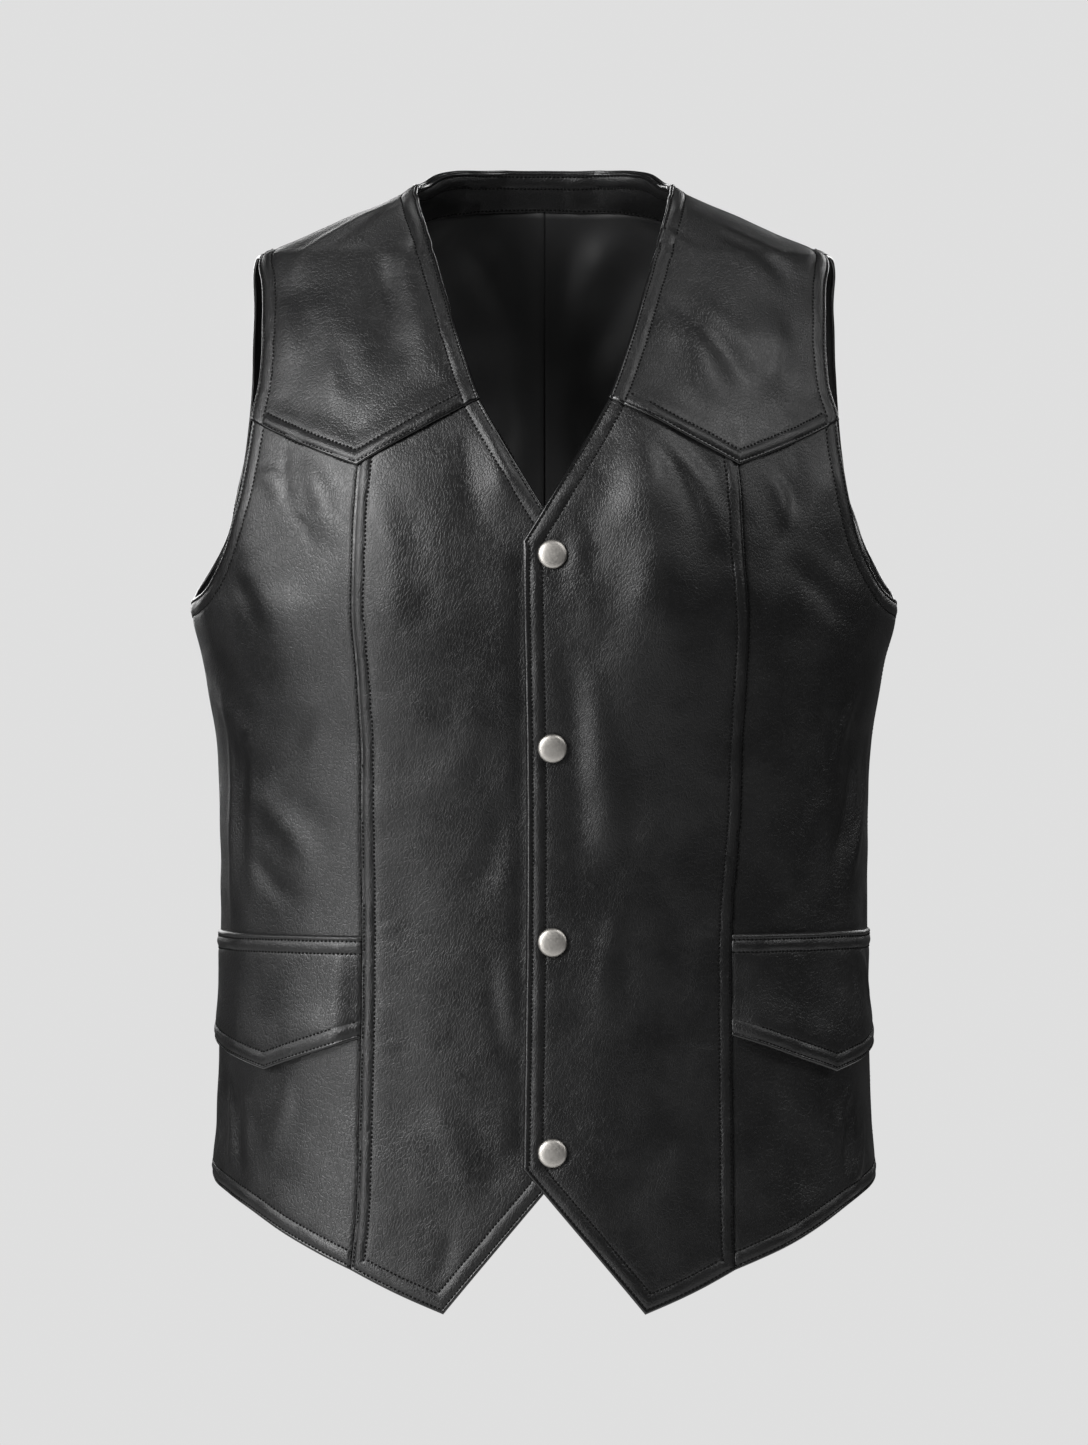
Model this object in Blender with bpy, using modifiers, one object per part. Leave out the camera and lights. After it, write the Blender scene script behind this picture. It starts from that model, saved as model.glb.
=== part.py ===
"""A black leather biker vest in its worn form, in metres, with +Z up.

The front faces -Y and the wearer's left is +X. The origin lies between the shoulders, level with
the points where the shoulder seams meet the neck edge. A place on the vest is given by its angle
around the body, from 0 at the centre front to half a turn at the centre back, and by its height.
"""
import math
from collections import namedtuple

import bpy
import numpy as np

# Leather, lining and seams
LEATHER = 0.0016
TURNED_EDGE = 0.0026
LINING = 0.0010
SEAM_GAP = 0.0003
LINING_GAP = 0.0005
FACING_GAP = 0.0006
BAND = 0.0105
BAND_STEP = 0.0015
WIDEST_BAND_SHARE = 0.65

# The body form: level sections of the outside, from the hem up to the back of the neck
FLATNESS = 2.6
MEAN_RADIUS = 0.165
Section = namedtuple("Section", "height half_width front_depth back_depth")
SECTIONS = (
    Section(-0.660, 0.1960, 0.121, 0.117),
    Section(-0.580, 0.1945, 0.119, 0.116),
    Section(-0.520, 0.1920, 0.117, 0.110),
    Section(-0.430, 0.1903, 0.117, 0.103),
    Section(-0.340, 0.1920, 0.123, 0.110),
    Section(-0.290, 0.1990, 0.128, 0.117),
    Section(-0.245, 0.2070, 0.131, 0.122),
    Section(-0.200, 0.2065, 0.128, 0.124),
    Section(-0.150, 0.2000, 0.118, 0.122),
    Section(-0.100, 0.1900, 0.098, 0.113),
    Section(-0.060, 0.1780, 0.073, 0.103),
    Section(-0.0435, 0.1695, 0.062, 0.097),
    Section(-0.038, 0.1580, 0.058, 0.095),
    Section(-0.020, 0.1190, 0.047, 0.088),
    Section(0.000, 0.0765, 0.030, 0.079),
    Section(0.008, 0.0740, 0.025, 0.075),
    Section(0.018, 0.0720, 0.020, 0.070),
)

# Soft folds of the whole shape: a line from top to bottom, angles in degrees
Fold = namedtuple("Fold", "top_angle top_height bottom_angle bottom_height half_width depth")
FOLDS = (
    Fold(72, -0.330, 66, -0.560, 0.020, 0.0030),
    Fold(46, -0.480, 50, -0.600, 0.018, -0.0018),
    Fold(58, -0.190, 40, -0.290, 0.020, -0.0018),
    Fold(-70, -0.350, -64, -0.450, 0.020, 0.0022),
    Fold(-56, -0.185, -44, -0.300, 0.018, 0.0022),
    Fold(-76, -0.490, -70, -0.590, 0.018, -0.0020),
    Fold(128, -0.250, 140, -0.420, 0.022, 0.0025),
    Fold(-126, -0.255, -142, -0.400, 0.022, 0.0025),
    Fold(152, -0.440, 146, -0.570, 0.022, -0.0020),
    Fold(-156, -0.460, -150, -0.570, 0.022, -0.0020),
)

# Lines of the two fronts, seen from the front: distance from the centre at each height
Line = namedtuple("Line", "height right left")
NECK_EDGE = (
    Line(-0.006, 0.0750, 0.0740),
    Line(-0.012, 0.0733, 0.0723),
    Line(-0.020, 0.0711, 0.0704),
    Line(-0.030, 0.0679, 0.0678),
    Line(-0.045, 0.0635, 0.0639),
    Line(-0.060, 0.0591, 0.0597),
    Line(-0.095, 0.0488, 0.0495),
)
PRINCESS_SEAM = (
    Line(-0.600, 0.1076, 0.1083),
    Line(-0.530, 0.1054, 0.1077),
    Line(-0.435, 0.1038, 0.1075),
    Line(-0.360, 0.1044, 0.1120),
    Line(-0.285, 0.1063, 0.1143),
    Line(-0.225, 0.1082, 0.1125),
)
NECK_CORNER = Line(-0.1325, 0.0364, 0.0366)
YOKE_POINT = Line(-0.1705, 0.1055, 0.1092)
YOKE_ARMHOLE_END = Line(-0.1420, 0.1675, 0.1687)
PRINCESS_HEM_END = Line(-0.6270, 0.1104, 0.1091)
HEM_POINT = Line(-0.6510, 0.0573, 0.0573)
HEM_MIDDLE = Line(-0.6385, 0.0870, 0.0870)
SIDE_HEM_CURVE = (
    Line(-0.6125, 0.1415, 0.1450),
    Line(-0.5960, 0.1700, 0.1735),
)
SIDE_CORNER_HEIGHT = -0.5800
UNDERARM_HEIGHT = -0.2450

# The front closing: how far each front passes the centre line
LAP_REACH = 0.0120
V_CORNER_HEIGHT = -0.2135
CUTAWAY_HEIGHT = -0.5685
CLOSING_EDGE_BOW = 0.0020
LAP_LIFT = TURNED_EDGE + 2 * SEAM_GAP
LAP_FULL = 0.0150
LAP_GONE = 0.0620
LAP_TOP = -0.1500
LAP_TOP_FULL = -0.1900

# Armholes, shoulders and back neck: distance from the centre at each height
Reach = namedtuple("Reach", "height reach")
FRONT_ARMHOLE_LOW = (
    Reach(-0.2330, 0.1925),
    Reach(-0.2160, 0.1838),
    Reach(-0.1900, 0.1763),
    Reach(-0.1640, 0.1712),
)
FRONT_ARMHOLE_HIGH = (
    Reach(-0.1180, 0.1645),
    Reach(-0.0900, 0.1636),
    Reach(-0.0620, 0.1645),
)
BACK_ARMHOLE = (
    Reach(-0.2305, 0.2020),
    Reach(-0.2060, 0.1913),
    Reach(-0.1816, 0.1844),
    Reach(-0.1400, 0.1778),
    Reach(-0.0980, 0.1743),
    Reach(-0.0635, 0.1726),
)
BACK_NECK = (
    Reach(0.0060, 0.0710),
    Reach(0.0115, 0.0650),
    Reach(0.0150, 0.0550),
    Reach(0.0165, 0.0350),
)
BACK_NECK_HEIGHT = 0.0170
SHOULDER_SEAM_ANGLE = math.pi / 2 - 0.20
SHOULDER_TIP_HEIGHT = -0.0435
SHOULDER_TIP_ROUND = 0.0008
FACING_HEIGHT = -0.0055
FACING_ROW_SHARE = 0.92
UNDERARM_ROW_AT_CENTRE = -0.3700
BACK_HEM_DROP = 0.0040

# Pocket flaps: heights of the top and lower edge, and how far along the panel the point lies
Flap = namedtuple("Flap", "top inner_end outer_end point point_share")
FLAPS = {
    "right": Flap(-0.4370, -0.4955, -0.4965, -0.5150, 0.42),
    "left": Flap(-0.4360, -0.4940, -0.4970, -0.5165, 0.48),
}
FLAP_STAND_OFF = 0.0012
FLAP_POINT_COLUMN = 3
FLAP_ROWS = 5

# Snap caps
SNAP_HEIGHTS = (-0.2210, -0.3295, -0.4400, -0.5595)
SNAP_OFFSET = 0.0048
SNAP_RADIUS = 0.0080
SNAP_RISE = 0.0030
SNAP_SEGMENTS = 20
CapRing = namedtuple("CapRing", "radius_share rise_share")
CAP_PROFILE = (
    CapRing(0.00, 1.00),
    CapRing(0.45, 0.95),
    CapRing(0.76, 0.80),
    CapRing(0.93, 0.52),
    CapRing(1.00, 0.22),
    CapRing(0.96, 0.00),
    CapRing(0.00, 0.00),
)

# Rows of the fronts: heights where the lapped seam and the side seam are cut into stretches
SEAM_ROW_HEIGHTS = (CUTAWAY_HEIGHT, V_CORNER_HEIGHT - 0.012)
SIDE_ROW_HEIGHTS = (-0.5320, -0.2950, -0.2650)
SEAM_ROWS = (2, 12, 3)

# Rows of the back below the underarm, below the neck facing and above it
BACK_ROWS = (10, 11, 1)
BACK_COLUMNS = (5, 5)
SHOULDER_SHARE = 0.42
SIDE_FRONT_BANDS = ("bottom", "top")

# How finely a panel is worked out before its final rows and columns are read from it
FINE = 96

SIDES = {"right": -1, "left": 1}
Finish = namedtuple("Finish", "colour roughness metallic")
FINISHES = {
    "leather": Finish((0.014, 0.014, 0.015), 0.42, 0.0),
    "lining": Finish((0.010, 0.010, 0.011), 0.34, 0.0),
    "nickel": Finish((0.66, 0.65, 0.62), 0.30, 1.0),
}


def smooth_read(places, values, at):
    """Read a smooth curve through the values, with no overshoot between them."""
    places = np.asarray(places, float)
    values = np.asarray(values, float)
    spans = np.diff(places)
    slopes = np.diff(values) / spans
    tangents = np.concatenate([slopes[:1], np.zeros(len(slopes) - 1), slopes[-1:]])
    same_way = slopes[:-1] * slopes[1:] > 0
    total = np.where(same_way, slopes[:-1] + slopes[1:], 1.0)
    tangents[1:-1] = np.where(same_way, 2 * slopes[:-1] * slopes[1:] / total, 0.0)
    at = np.clip(at, places[0], places[-1])
    i = np.clip(np.searchsorted(places, at) - 1, 0, len(spans) - 1)
    t = (at - places[i]) / spans[i]
    start = (1 + 2 * t) * (1 - t) ** 2 * values[i] + t * (1 - t) ** 2 * spans[i] * tangents[i]
    end = t * t * (3 - 2 * t) * values[i + 1] + t * t * (t - 1) * spans[i] * tangents[i + 1]
    return start + end


def section_size(name, height):
    heights = [row.height for row in SECTIONS]
    return smooth_read(heights, [getattr(row, name) for row in SECTIONS], height)


def ease(share):
    share = np.clip(share, 0.0, 1.0)
    return share * share * (3 - 2 * share)


def fold_push(angle, height):
    """Sum the folds' push outwards at each place."""
    push = np.zeros_like(angle)
    for fold in FOLDS:
        start = np.array([math.radians(fold.top_angle) * MEAN_RADIUS, fold.top_height])
        end = np.array([math.radians(fold.bottom_angle) * MEAN_RADIUS, fold.bottom_height])
        run = end - start
        turned = (angle + math.pi) % (2 * math.pi) - math.pi
        place = np.stack([turned * MEAN_RADIUS, height], axis=-1)
        share = np.clip((place - start) @ run / (run @ run), 0.0, 1.0)
        gap = np.linalg.norm(place - start - share[..., None] * run, axis=-1)
        fade = ease(1.2 - np.abs(2 * share - 1))
        push += fold.depth * fade * np.exp(-((gap / fold.half_width) ** 2))
    return push


def surface(place):
    """Turn places (angle, height) into points on the inside of the leather."""
    angle = place[..., 0]
    height = place[..., 1]
    half_width = section_size("half_width", height)
    ahead = np.cos(angle) > 0
    depth = np.where(ahead, section_size("front_depth", height), section_size("back_depth", height))
    across = np.sin(angle)
    along = np.sqrt(np.clip(1 - np.abs(across) ** FLATNESS, 0.0, 1.0)) * np.where(ahead, -1, 1)
    push = fold_push(angle, height)
    outward = np.stack([across / half_width, along / depth], axis=-1)
    outward /= np.linalg.norm(outward, axis=-1, keepdims=True)
    x = half_width * across + (push - LEATHER) * outward[..., 0]
    y = depth * along + (push - LEATHER) * outward[..., 1]
    return np.stack([x, y, height], axis=-1)


def place_at(reach, height, behind=False):
    """Give the place that lies at this distance from the centre, seen from the front."""
    angle = math.asin(min(1.0, max(-1.0, reach / section_size("half_width", height))))
    return (math.pi - angle if behind else angle, height)


def front_places(lines, side):
    return [place_at(getattr(line, side), line.height) for line in lines]


def curve_through(places):
    """Run a smooth curve through the places and read it at even steps."""
    places = np.array(places, float)
    scaled = places * (MEAN_RADIUS, 1.0)
    lengths = np.concatenate([[0.0], np.cumsum(np.linalg.norm(np.diff(scaled, axis=0), axis=1))])
    if len(places) > 2:
        tangents = np.gradient(places, lengths, axis=0)
    else:
        tangents = np.repeat((places[1:] - places[:1]) / lengths[-1], 2, axis=0)
    at = np.linspace(0.0, lengths[-1], FINE * 2)
    i = np.clip(np.searchsorted(lengths, at) - 1, 0, len(places) - 2)
    span = (lengths[i + 1] - lengths[i])[:, None]
    t = (at - lengths[i])[:, None] / span
    start = (1 + 2 * t) * (1 - t) ** 2 * places[i] + t * (1 - t) ** 2 * span * tangents[i]
    end = t * t * (3 - 2 * t) * places[i + 1] + t * t * (t - 1) * span * tangents[i + 1]
    return start + end


def read_evenly(curve, count):
    """Read a curve at even distances over the vest's surface."""
    points = surface(curve)
    lengths = np.concatenate([[0.0], np.cumsum(np.linalg.norm(np.diff(points, axis=0), axis=1))])
    at = np.linspace(0.0, lengths[-1], count)
    return np.stack([np.interp(at, lengths, curve[:, 0]), np.interp(at, lengths, curve[:, 1])], axis=-1)


def chain(*curves):
    """Join curves end to end, each with the same number of steps."""
    steps = [read_evenly(curve, FINE + 1) for curve in curves]
    return np.concatenate([steps[0]] + [part[1:] for part in steps[1:]])


def split_seam(curve, heights):
    """Cut a rising seam at the given heights and give each stretch the same number of steps."""
    cuts = [curve[0, 1], *heights, curve[-1, 1]]
    stretches = []
    for low, high in zip(cuts[:-1], cuts[1:]):
        at = np.linspace(low, high, FINE * 2)
        stretches.append(np.stack([np.interp(at, curve[:, 1], curve[:, 0]), at], axis=-1))
    return chain(*stretches)


def cut_curve(curve, share):
    """Cut a curve in two at a share of its length."""
    even = read_evenly(curve, FINE * 4 + 1)
    cut = int(round(share * FINE * 4))
    return even[: cut + 1], even[cut:]


def match_steps(curve, count):
    """Read a curve at another number of even steps along its own list."""
    old = np.linspace(0.0, 1.0, len(curve))
    new = np.linspace(0.0, 1.0, count)
    return np.stack([np.interp(new, old, curve[:, 0]), np.interp(new, old, curve[:, 1])], axis=-1)


def mean_radius(height, middle):
    depth = section_size("back_depth" if middle else "front_depth", height)
    return (section_size("half_width", height) + depth) / 2


def lay_out(places, middle):
    """Turn angles into distances around the body from a middle line."""
    around = (places[..., 0] - middle) * mean_radius(places[..., 1], middle)
    return np.stack([around, places[..., 1]], axis=-1)


def wrap_round(laid, middle):
    """Turn distances around the body back into angles."""
    angle = middle + laid[..., 0] / mean_radius(laid[..., 1], middle)
    return np.stack([angle, laid[..., 1]], axis=-1)


def span_patch(bottom, top, inner, outer, middle=0.0):
    """Fill the space between four edges; rows run from inner to outer, columns from bottom to top."""
    columns = max(len(bottom), len(top))
    rows = max(len(inner), len(outer))
    bottom = lay_out(match_steps(bottom, columns), middle)
    top = lay_out(match_steps(top, columns), middle)
    inner = lay_out(match_steps(inner, rows), middle)
    outer = lay_out(match_steps(outer, rows), middle)
    u = np.linspace(0.0, 1.0, columns)[None, :, None]
    v = np.linspace(0.0, 1.0, rows)[:, None, None]
    ruled = (1 - v) * bottom + v * top + (1 - u) * inner[:, None] + u * outer[:, None]
    corners = (1 - u) * ((1 - v) * bottom[0] + v * top[0]) + u * ((1 - v) * bottom[-1] + v * top[-1])
    return wrap_round(ruled - corners, middle)


def edge_slant(points, first, second):
    """Tell how squarely the lines of a grid meet its first edge, as the sine of the angle."""
    edge = np.gradient(points[:, first], axis=0)
    line = points[:, second] - points[:, first]
    sine = np.linalg.norm(np.cross(edge, line), axis=1)
    sine /= np.linalg.norm(edge, axis=1) * np.linalg.norm(line, axis=1) + 1e-12
    return np.clip(sine, 0.5, 1.0)


def set_stations(patch, counts, band_start, band_end):
    """Read each row of a patch at its final columns: the turned edges first, then even steps."""
    points = surface(patch)
    start_width = BAND / edge_slant(points, 0, 1)
    end_width = BAND / edge_slant(points, -1, -2)
    stretches = len(counts)
    step = (patch.shape[1] - 1) // stretches
    rows = []
    for i in range(len(patch)):
        lengths = np.concatenate([[0.0], np.cumsum(np.linalg.norm(np.diff(points[i], axis=0), axis=1))])
        at = []
        for k, count in enumerate(counts):
            low = lengths[k * step]
            high = lengths[(k + 1) * step]
            lead = [low]
            tail = [high]
            most = (high - low) * WIDEST_BAND_SHARE
            if band_start and k == 0:
                width = min(start_width[i], most)
                lead = [low, low + width, low + width + BAND_STEP]
            if band_end and k == stretches - 1:
                width = min(end_width[i], most)
                tail = [high - width - BAND_STEP, high - width, high]
            middle = list(np.linspace(lead[-1], tail[0], count + 1)[1:-1])
            at += (lead if k == 0 else lead[1:]) + middle + tail
        angles = np.interp(at, lengths, patch[i, :, 0])
        heights = np.interp(at, lengths, patch[i, :, 1])
        rows.append(np.stack([angles, heights], axis=-1))
    return np.array(rows)


def panel_grid(patch, column_counts, row_counts, bands):
    """Give a panel its final columns and rows. Bands are named by the edges that are turned under."""
    grid = set_stations(patch, column_counts, "inner" in bands, "outer" in bands)
    grid = set_stations(grid.transpose(1, 0, 2), row_counts, "bottom" in bands, "top" in bands)
    return grid.transpose(1, 0, 2)


def turned_weights(grid, bands):
    """Mark the grid points that lie on a turned edge."""
    weights = np.zeros(grid.shape[:2])
    if "bottom" in bands:
        weights[:2] = 1.0
    if "top" in bands:
        weights[-2:] = 1.0
    if "inner" in bands:
        weights[:, :2] = 1.0
    if "outer" in bands:
        weights[:, -2:] = 1.0
    return weights


def draw_in(points, distance=SEAM_GAP / 2):
    """Draw a panel's four edges in, by half a seam gap unless told otherwise."""
    drawn = points.copy()
    for edge, beside in ((np.s_[0], np.s_[1]), (np.s_[-1], np.s_[-2])):
        for axes in ((0, 1, 2), (1, 0, 2)):
            old = points.transpose(axes)
            new = drawn.transpose(axes)
            way = old[beside] - old[edge]
            new[edge] += way / np.linalg.norm(way, axis=1, keepdims=True) * distance
    return drawn


def grid_normals(points):
    """Give the outward direction at each point of a grid."""
    across = np.gradient(points, axis=1)
    up = np.gradient(points, axis=0)
    normals = np.cross(across, up)
    return normals / np.linalg.norm(normals, axis=-1, keepdims=True)


def make_material(name):
    finish = FINISHES[name]
    material = bpy.data.materials.new(name)
    material.use_nodes = True
    shader = material.node_tree.nodes["Principled BSDF"]
    shader.inputs["Base Color"].default_value = (*finish.colour, 1.0)
    shader.inputs["Roughness"].default_value = finish.roughness
    shader.inputs["Metallic"].default_value = finish.metallic
    return material


def add_object(name, mesh, material, collection):
    thing = bpy.data.objects.new(name, mesh)
    mesh.materials.append(material)
    collection.objects.link(thing)
    mesh.shade_smooth()
    return thing


def add_wall(name, points, material, collection, wall, side=1, outwards=True, weights=None, left_out=None):
    """Make an open sheet through a grid of points and thicken it to a wall."""
    rows, columns = points.shape[:2]
    faces = []
    for j in range(rows - 1):
        for i in range(columns - 1):
            if left_out is not None and left_out[j, i]:
                continue
            low = j * columns + i
            face = (low, low + 1, low + columns + 1, low + columns)
            faces.append(face if side > 0 else face[::-1])
    used = np.unique(faces)
    new_number = np.zeros(rows * columns, int)
    new_number[used] = np.arange(len(used))
    corners = (points * (side, 1, 1)).reshape(-1, 3)[used]
    mesh = bpy.data.meshes.new(name)
    mesh.from_pydata(corners.tolist(), [], new_number[np.array(faces)].tolist())
    thing = add_object(name, mesh, material, collection)
    facets = thing.modifiers.new("facets", "TRIANGULATE")
    facets.quad_method = "FIXED"
    thicken = thing.modifiers.new("wall", "SOLIDIFY")
    thicken.thickness = wall
    thicken.offset = 1.0 if outwards else -1.0
    thicken.use_even_offset = True
    if weights is not None:
        group = thing.vertex_groups.new(name="turned_edge")
        group.add(np.flatnonzero(weights.reshape(-1) > 0).tolist(), 1.0, "REPLACE")
        thicken.vertex_group = group.name
        thicken.thickness_vertex_group = LEATHER / wall
    return thing


def add_panel(name, grid, bands, material, collection, side, lift=None):
    """Make a leather panel from its grid of places, with its turned edges."""
    points = draw_in(surface(grid * (side, 1)) * (side, 1, 1))
    if lift is not None:
        points[..., 1] -= lift(points)
    add_wall(name, points, material, collection, TURNED_EDGE, side, weights=turned_weights(grid, bands))


def lap_lift(points):
    """Tell how far the overlapping front stands off, so that it clears the front under it."""
    across = ease((LAP_GONE - points[..., 0]) / (LAP_GONE - LAP_FULL))
    down = ease((LAP_TOP - points[..., 2]) / (LAP_TOP - LAP_TOP_FULL))
    return LAP_LIFT * across * down


def neck_point():
    return (SHOULDER_SEAM_ANGLE, 0.0)


def shoulder_tip():
    return (SHOULDER_SEAM_ANGLE, SHOULDER_TIP_HEIGHT)


def underarm():
    return (math.pi / 2, UNDERARM_HEIGHT)


def corner(line, side):
    return place_at(getattr(line, side), line.height)


def princess_seam(side):
    return curve_through(
        [corner(PRINCESS_HEM_END, side), *front_places(PRINCESS_SEAM, side), corner(YOKE_POINT, side)]
    )


def add_yoke(side, material, collection):
    neck = curve_through([corner(NECK_CORNER, side), *front_places(NECK_EDGE[::-1], side), neck_point()])
    armhole_places = [place_at(row.reach, row.height) for row in FRONT_ARMHOLE_HIGH]
    armhole = curve_through([corner(YOKE_ARMHOLE_END, side), *armhole_places, shoulder_tip()])
    to_point = curve_through([corner(NECK_CORNER, side), corner(YOKE_POINT, side)])
    from_point = curve_through([corner(YOKE_POINT, side), corner(YOKE_ARMHOLE_END, side)])
    shoulder = curve_through([neck_point(), shoulder_tip()])
    lower_edge = chain(to_point, from_point)
    patch = span_patch(lower_edge, read_evenly(shoulder, len(lower_edge)), chain(neck), chain(armhole))
    bands = ("inner", "outer", "bottom")
    grid = panel_grid(patch, (4, 4), (7,), bands)
    add_panel(f"yoke_front_{side}", grid, bands, material, collection, SIDES[side])


def add_centre_front(side, material, collection):
    hem = curve_through([corner(HEM_POINT, side), corner(HEM_MIDDLE, side), corner(PRINCESS_HEM_END, side)])
    top = curve_through([corner(NECK_CORNER, side), corner(YOKE_POINT, side)])
    cutaway = curve_through([corner(HEM_POINT, side), place_at(-LAP_REACH, CUTAWAY_HEIGHT)])
    middle_height = (CUTAWAY_HEIGHT + V_CORNER_HEIGHT) / 2
    closing = curve_through(
        [
            place_at(-LAP_REACH, CUTAWAY_HEIGHT),
            place_at(CLOSING_EDGE_BOW - LAP_REACH, middle_height),
            place_at(-LAP_REACH, V_CORNER_HEIGHT),
        ]
    )
    neck = curve_through([place_at(-LAP_REACH, V_CORNER_HEIGHT), corner(NECK_CORNER, side)])
    seam = split_seam(princess_seam(side), SEAM_ROW_HEIGHTS)
    patch = span_patch(chain(hem), chain(top), chain(cutaway, closing, neck), seam)
    bands = ("inner", "outer", "bottom")
    grid = panel_grid(patch, (4,), SEAM_ROWS, bands)
    lift = lap_lift if side == "left" else None
    add_panel(f"front_centre_{side}", grid, bands, material, collection, SIDES[side], lift)


def side_front_grid(side):
    """Work out the grid of a side front, with a column through the pocket flap's point."""
    side_corner = (math.pi / 2, SIDE_CORNER_HEIGHT)
    hem = curve_through([corner(PRINCESS_HEM_END, side), *front_places(SIDE_HEM_CURVE, side), side_corner])
    yoke_edge = curve_through([corner(YOKE_POINT, side), corner(YOKE_ARMHOLE_END, side)])
    side_seam = curve_through([side_corner, underarm()])
    armhole_places = [place_at(row.reach, row.height) for row in FRONT_ARMHOLE_LOW[::-1]]
    armhole = curve_through([corner(YOKE_ARMHOLE_END, side), *armhole_places, underarm()])
    share = FLAPS[side].point_share
    patch = span_patch(
        chain(*cut_curve(hem, share)),
        chain(*cut_curve(armhole, share)),
        np.concatenate([split_seam(princess_seam(side), SEAM_ROW_HEIGHTS), chain(yoke_edge)[1:]]),
        split_seam(side_seam, SIDE_ROW_HEIGHTS),
    )
    return panel_grid(patch, (FLAP_POINT_COLUMN, 4), (*SEAM_ROWS, 3), SIDE_FRONT_BANDS)


def add_side_front(side, material, collection):
    grid = side_front_grid(side)
    add_panel(f"front_side_{side}", grid, SIDE_FRONT_BANDS, material, collection, SIDES[side])


def add_pocket_flap(side, material, collection):
    """Make a flap from the side front's columns, moved out over the panel."""
    flap = FLAPS[side]
    grid = side_front_grid(side)
    sign = SIDES[side]
    panel = surface(grid * (sign, 1)) * (sign, 1, 1)
    normals = grid_normals(panel)
    columns = panel.shape[1]
    flap_row = np.argmin(np.abs(panel[:, 0, 2] - flap.top))
    across = np.cumsum(np.linalg.norm(np.diff(panel[flap_row], axis=0), axis=1))
    reach = np.concatenate([[0.0], across / across[-1]])
    ends = (reach[0], reach[FLAP_POINT_COLUMN], reach[-1])
    lower = np.interp(reach, ends, (flap.inner_end, flap.point, flap.outer_end))
    points = np.zeros((FLAP_ROWS + 1, columns, 3))
    for i in range(columns):
        height = panel[:, i, 2]
        for j, share in enumerate(np.linspace(0.0, 1.0, FLAP_ROWS + 1)):
            level = lower[i] + (flap.top - lower[i]) * share
            spot = [np.interp(level, height, panel[:, i, k]) for k in range(3)]
            way = [np.interp(level, height, normals[:, i, k]) for k in range(3)]
            stand_off = LEATHER + SEAM_GAP + FLAP_STAND_OFF * (1 - share)
            points[j, i] = np.array(spot) + np.array(way) / np.linalg.norm(way) * stand_off
    weights = np.zeros(points.shape[:2])
    weights[:2] = 1.0
    name = f"pocket_flap_{side}"
    add_wall(name, draw_in(points), material, collection, TURNED_EDGE, sign, weights=weights)


def half_back():
    """Work out the left half of the back, from the side and armhole to the centre back."""
    side_corner = (math.pi / 2, SIDE_CORNER_HEIGHT)
    hem_height = SIDE_CORNER_HEIGHT - BACK_HEM_DROP
    hem = curve_through([side_corner, (math.pi * 0.75, hem_height), (math.pi, hem_height)])
    side_seam = curve_through([side_corner, underarm()])
    armhole_places = [place_at(row.reach, row.height, behind=True) for row in BACK_ARMHOLE]
    ridge = (math.pi / 2, SHOULDER_TIP_HEIGHT - SHOULDER_TIP_ROUND)
    armhole = curve_through([underarm(), *armhole_places, ridge, shoulder_tip()])
    shoulder = curve_through([shoulder_tip(), neck_point()])
    neck_places = [place_at(row.reach, row.height, behind=True) for row in BACK_NECK]
    neck = curve_through([neck_point(), *neck_places, (math.pi, BACK_NECK_HEIGHT)])
    centre = curve_through([(math.pi, hem_height), (math.pi, BACK_NECK_HEIGHT)])
    return span_patch(
        chain(*cut_curve(hem, SHOULDER_SHARE)),
        chain(shoulder, neck),
        chain(side_seam, *cut_curve(armhole, FACING_ROW_SHARE)),
        split_seam(centre, (UNDERARM_ROW_AT_CENTRE, FACING_HEIGHT)),
        math.pi,
    )


def add_back(leather, lining, collection):
    """Make the back, and its lining and neck facing from the same points, moved in."""
    bands = ("inner", "bottom", "top")
    half = panel_grid(half_back(), BACK_COLUMNS, BACK_ROWS, bands)
    mirrored = half[:, -2::-1] * (-1, 1) + (2 * math.pi, 0)
    grid = np.concatenate([half, mirrored], axis=1)
    middle = half.shape[1] - 1
    columns = grid.shape[1]
    neck_column = BACK_COLUMNS[0] + 2
    underarm_row = BACK_ROWS[0] + 2
    facing_row = underarm_row + BACK_ROWS[1]
    weights = turned_weights(grid, ("inner", "outer", "bottom", "top"))
    weights[2:underarm_row, :2] = 0.0
    weights[2:underarm_row, -2:] = 0.0
    weights[-2:, 2:neck_column] = 0.0
    weights[-2:, columns - neck_column : -2] = 0.0
    points = surface(grid)
    drawn = draw_in(points)
    add_wall("back", drawn, leather, collection, TURNED_EDGE, weights=weights)
    inside = drawn - grid_normals(points) * LINING_GAP
    faced = np.zeros((len(points) - 1, columns - 1), bool)
    faced[facing_row:, neck_column : columns - 1 - neck_column] = True
    hem_rows = 2
    for side, part in (("left", np.s_[: middle + 1]), ("right", np.s_[middle:])):
        half_points = draw_in(inside[hem_rows:, part])
        cells = faced[hem_rows:, :middle] if side == "left" else faced[hem_rows:, middle:]
        name = f"lining_back_{side}"
        add_wall(name, half_points, lining, collection, LINING, outwards=False, left_out=cells)
    facing = inside[facing_row:, neck_column : columns - neck_column]
    add_wall("back_neck_facing", draw_in(facing, FACING_GAP), leather, collection, LEATHER, outwards=False)


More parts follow.
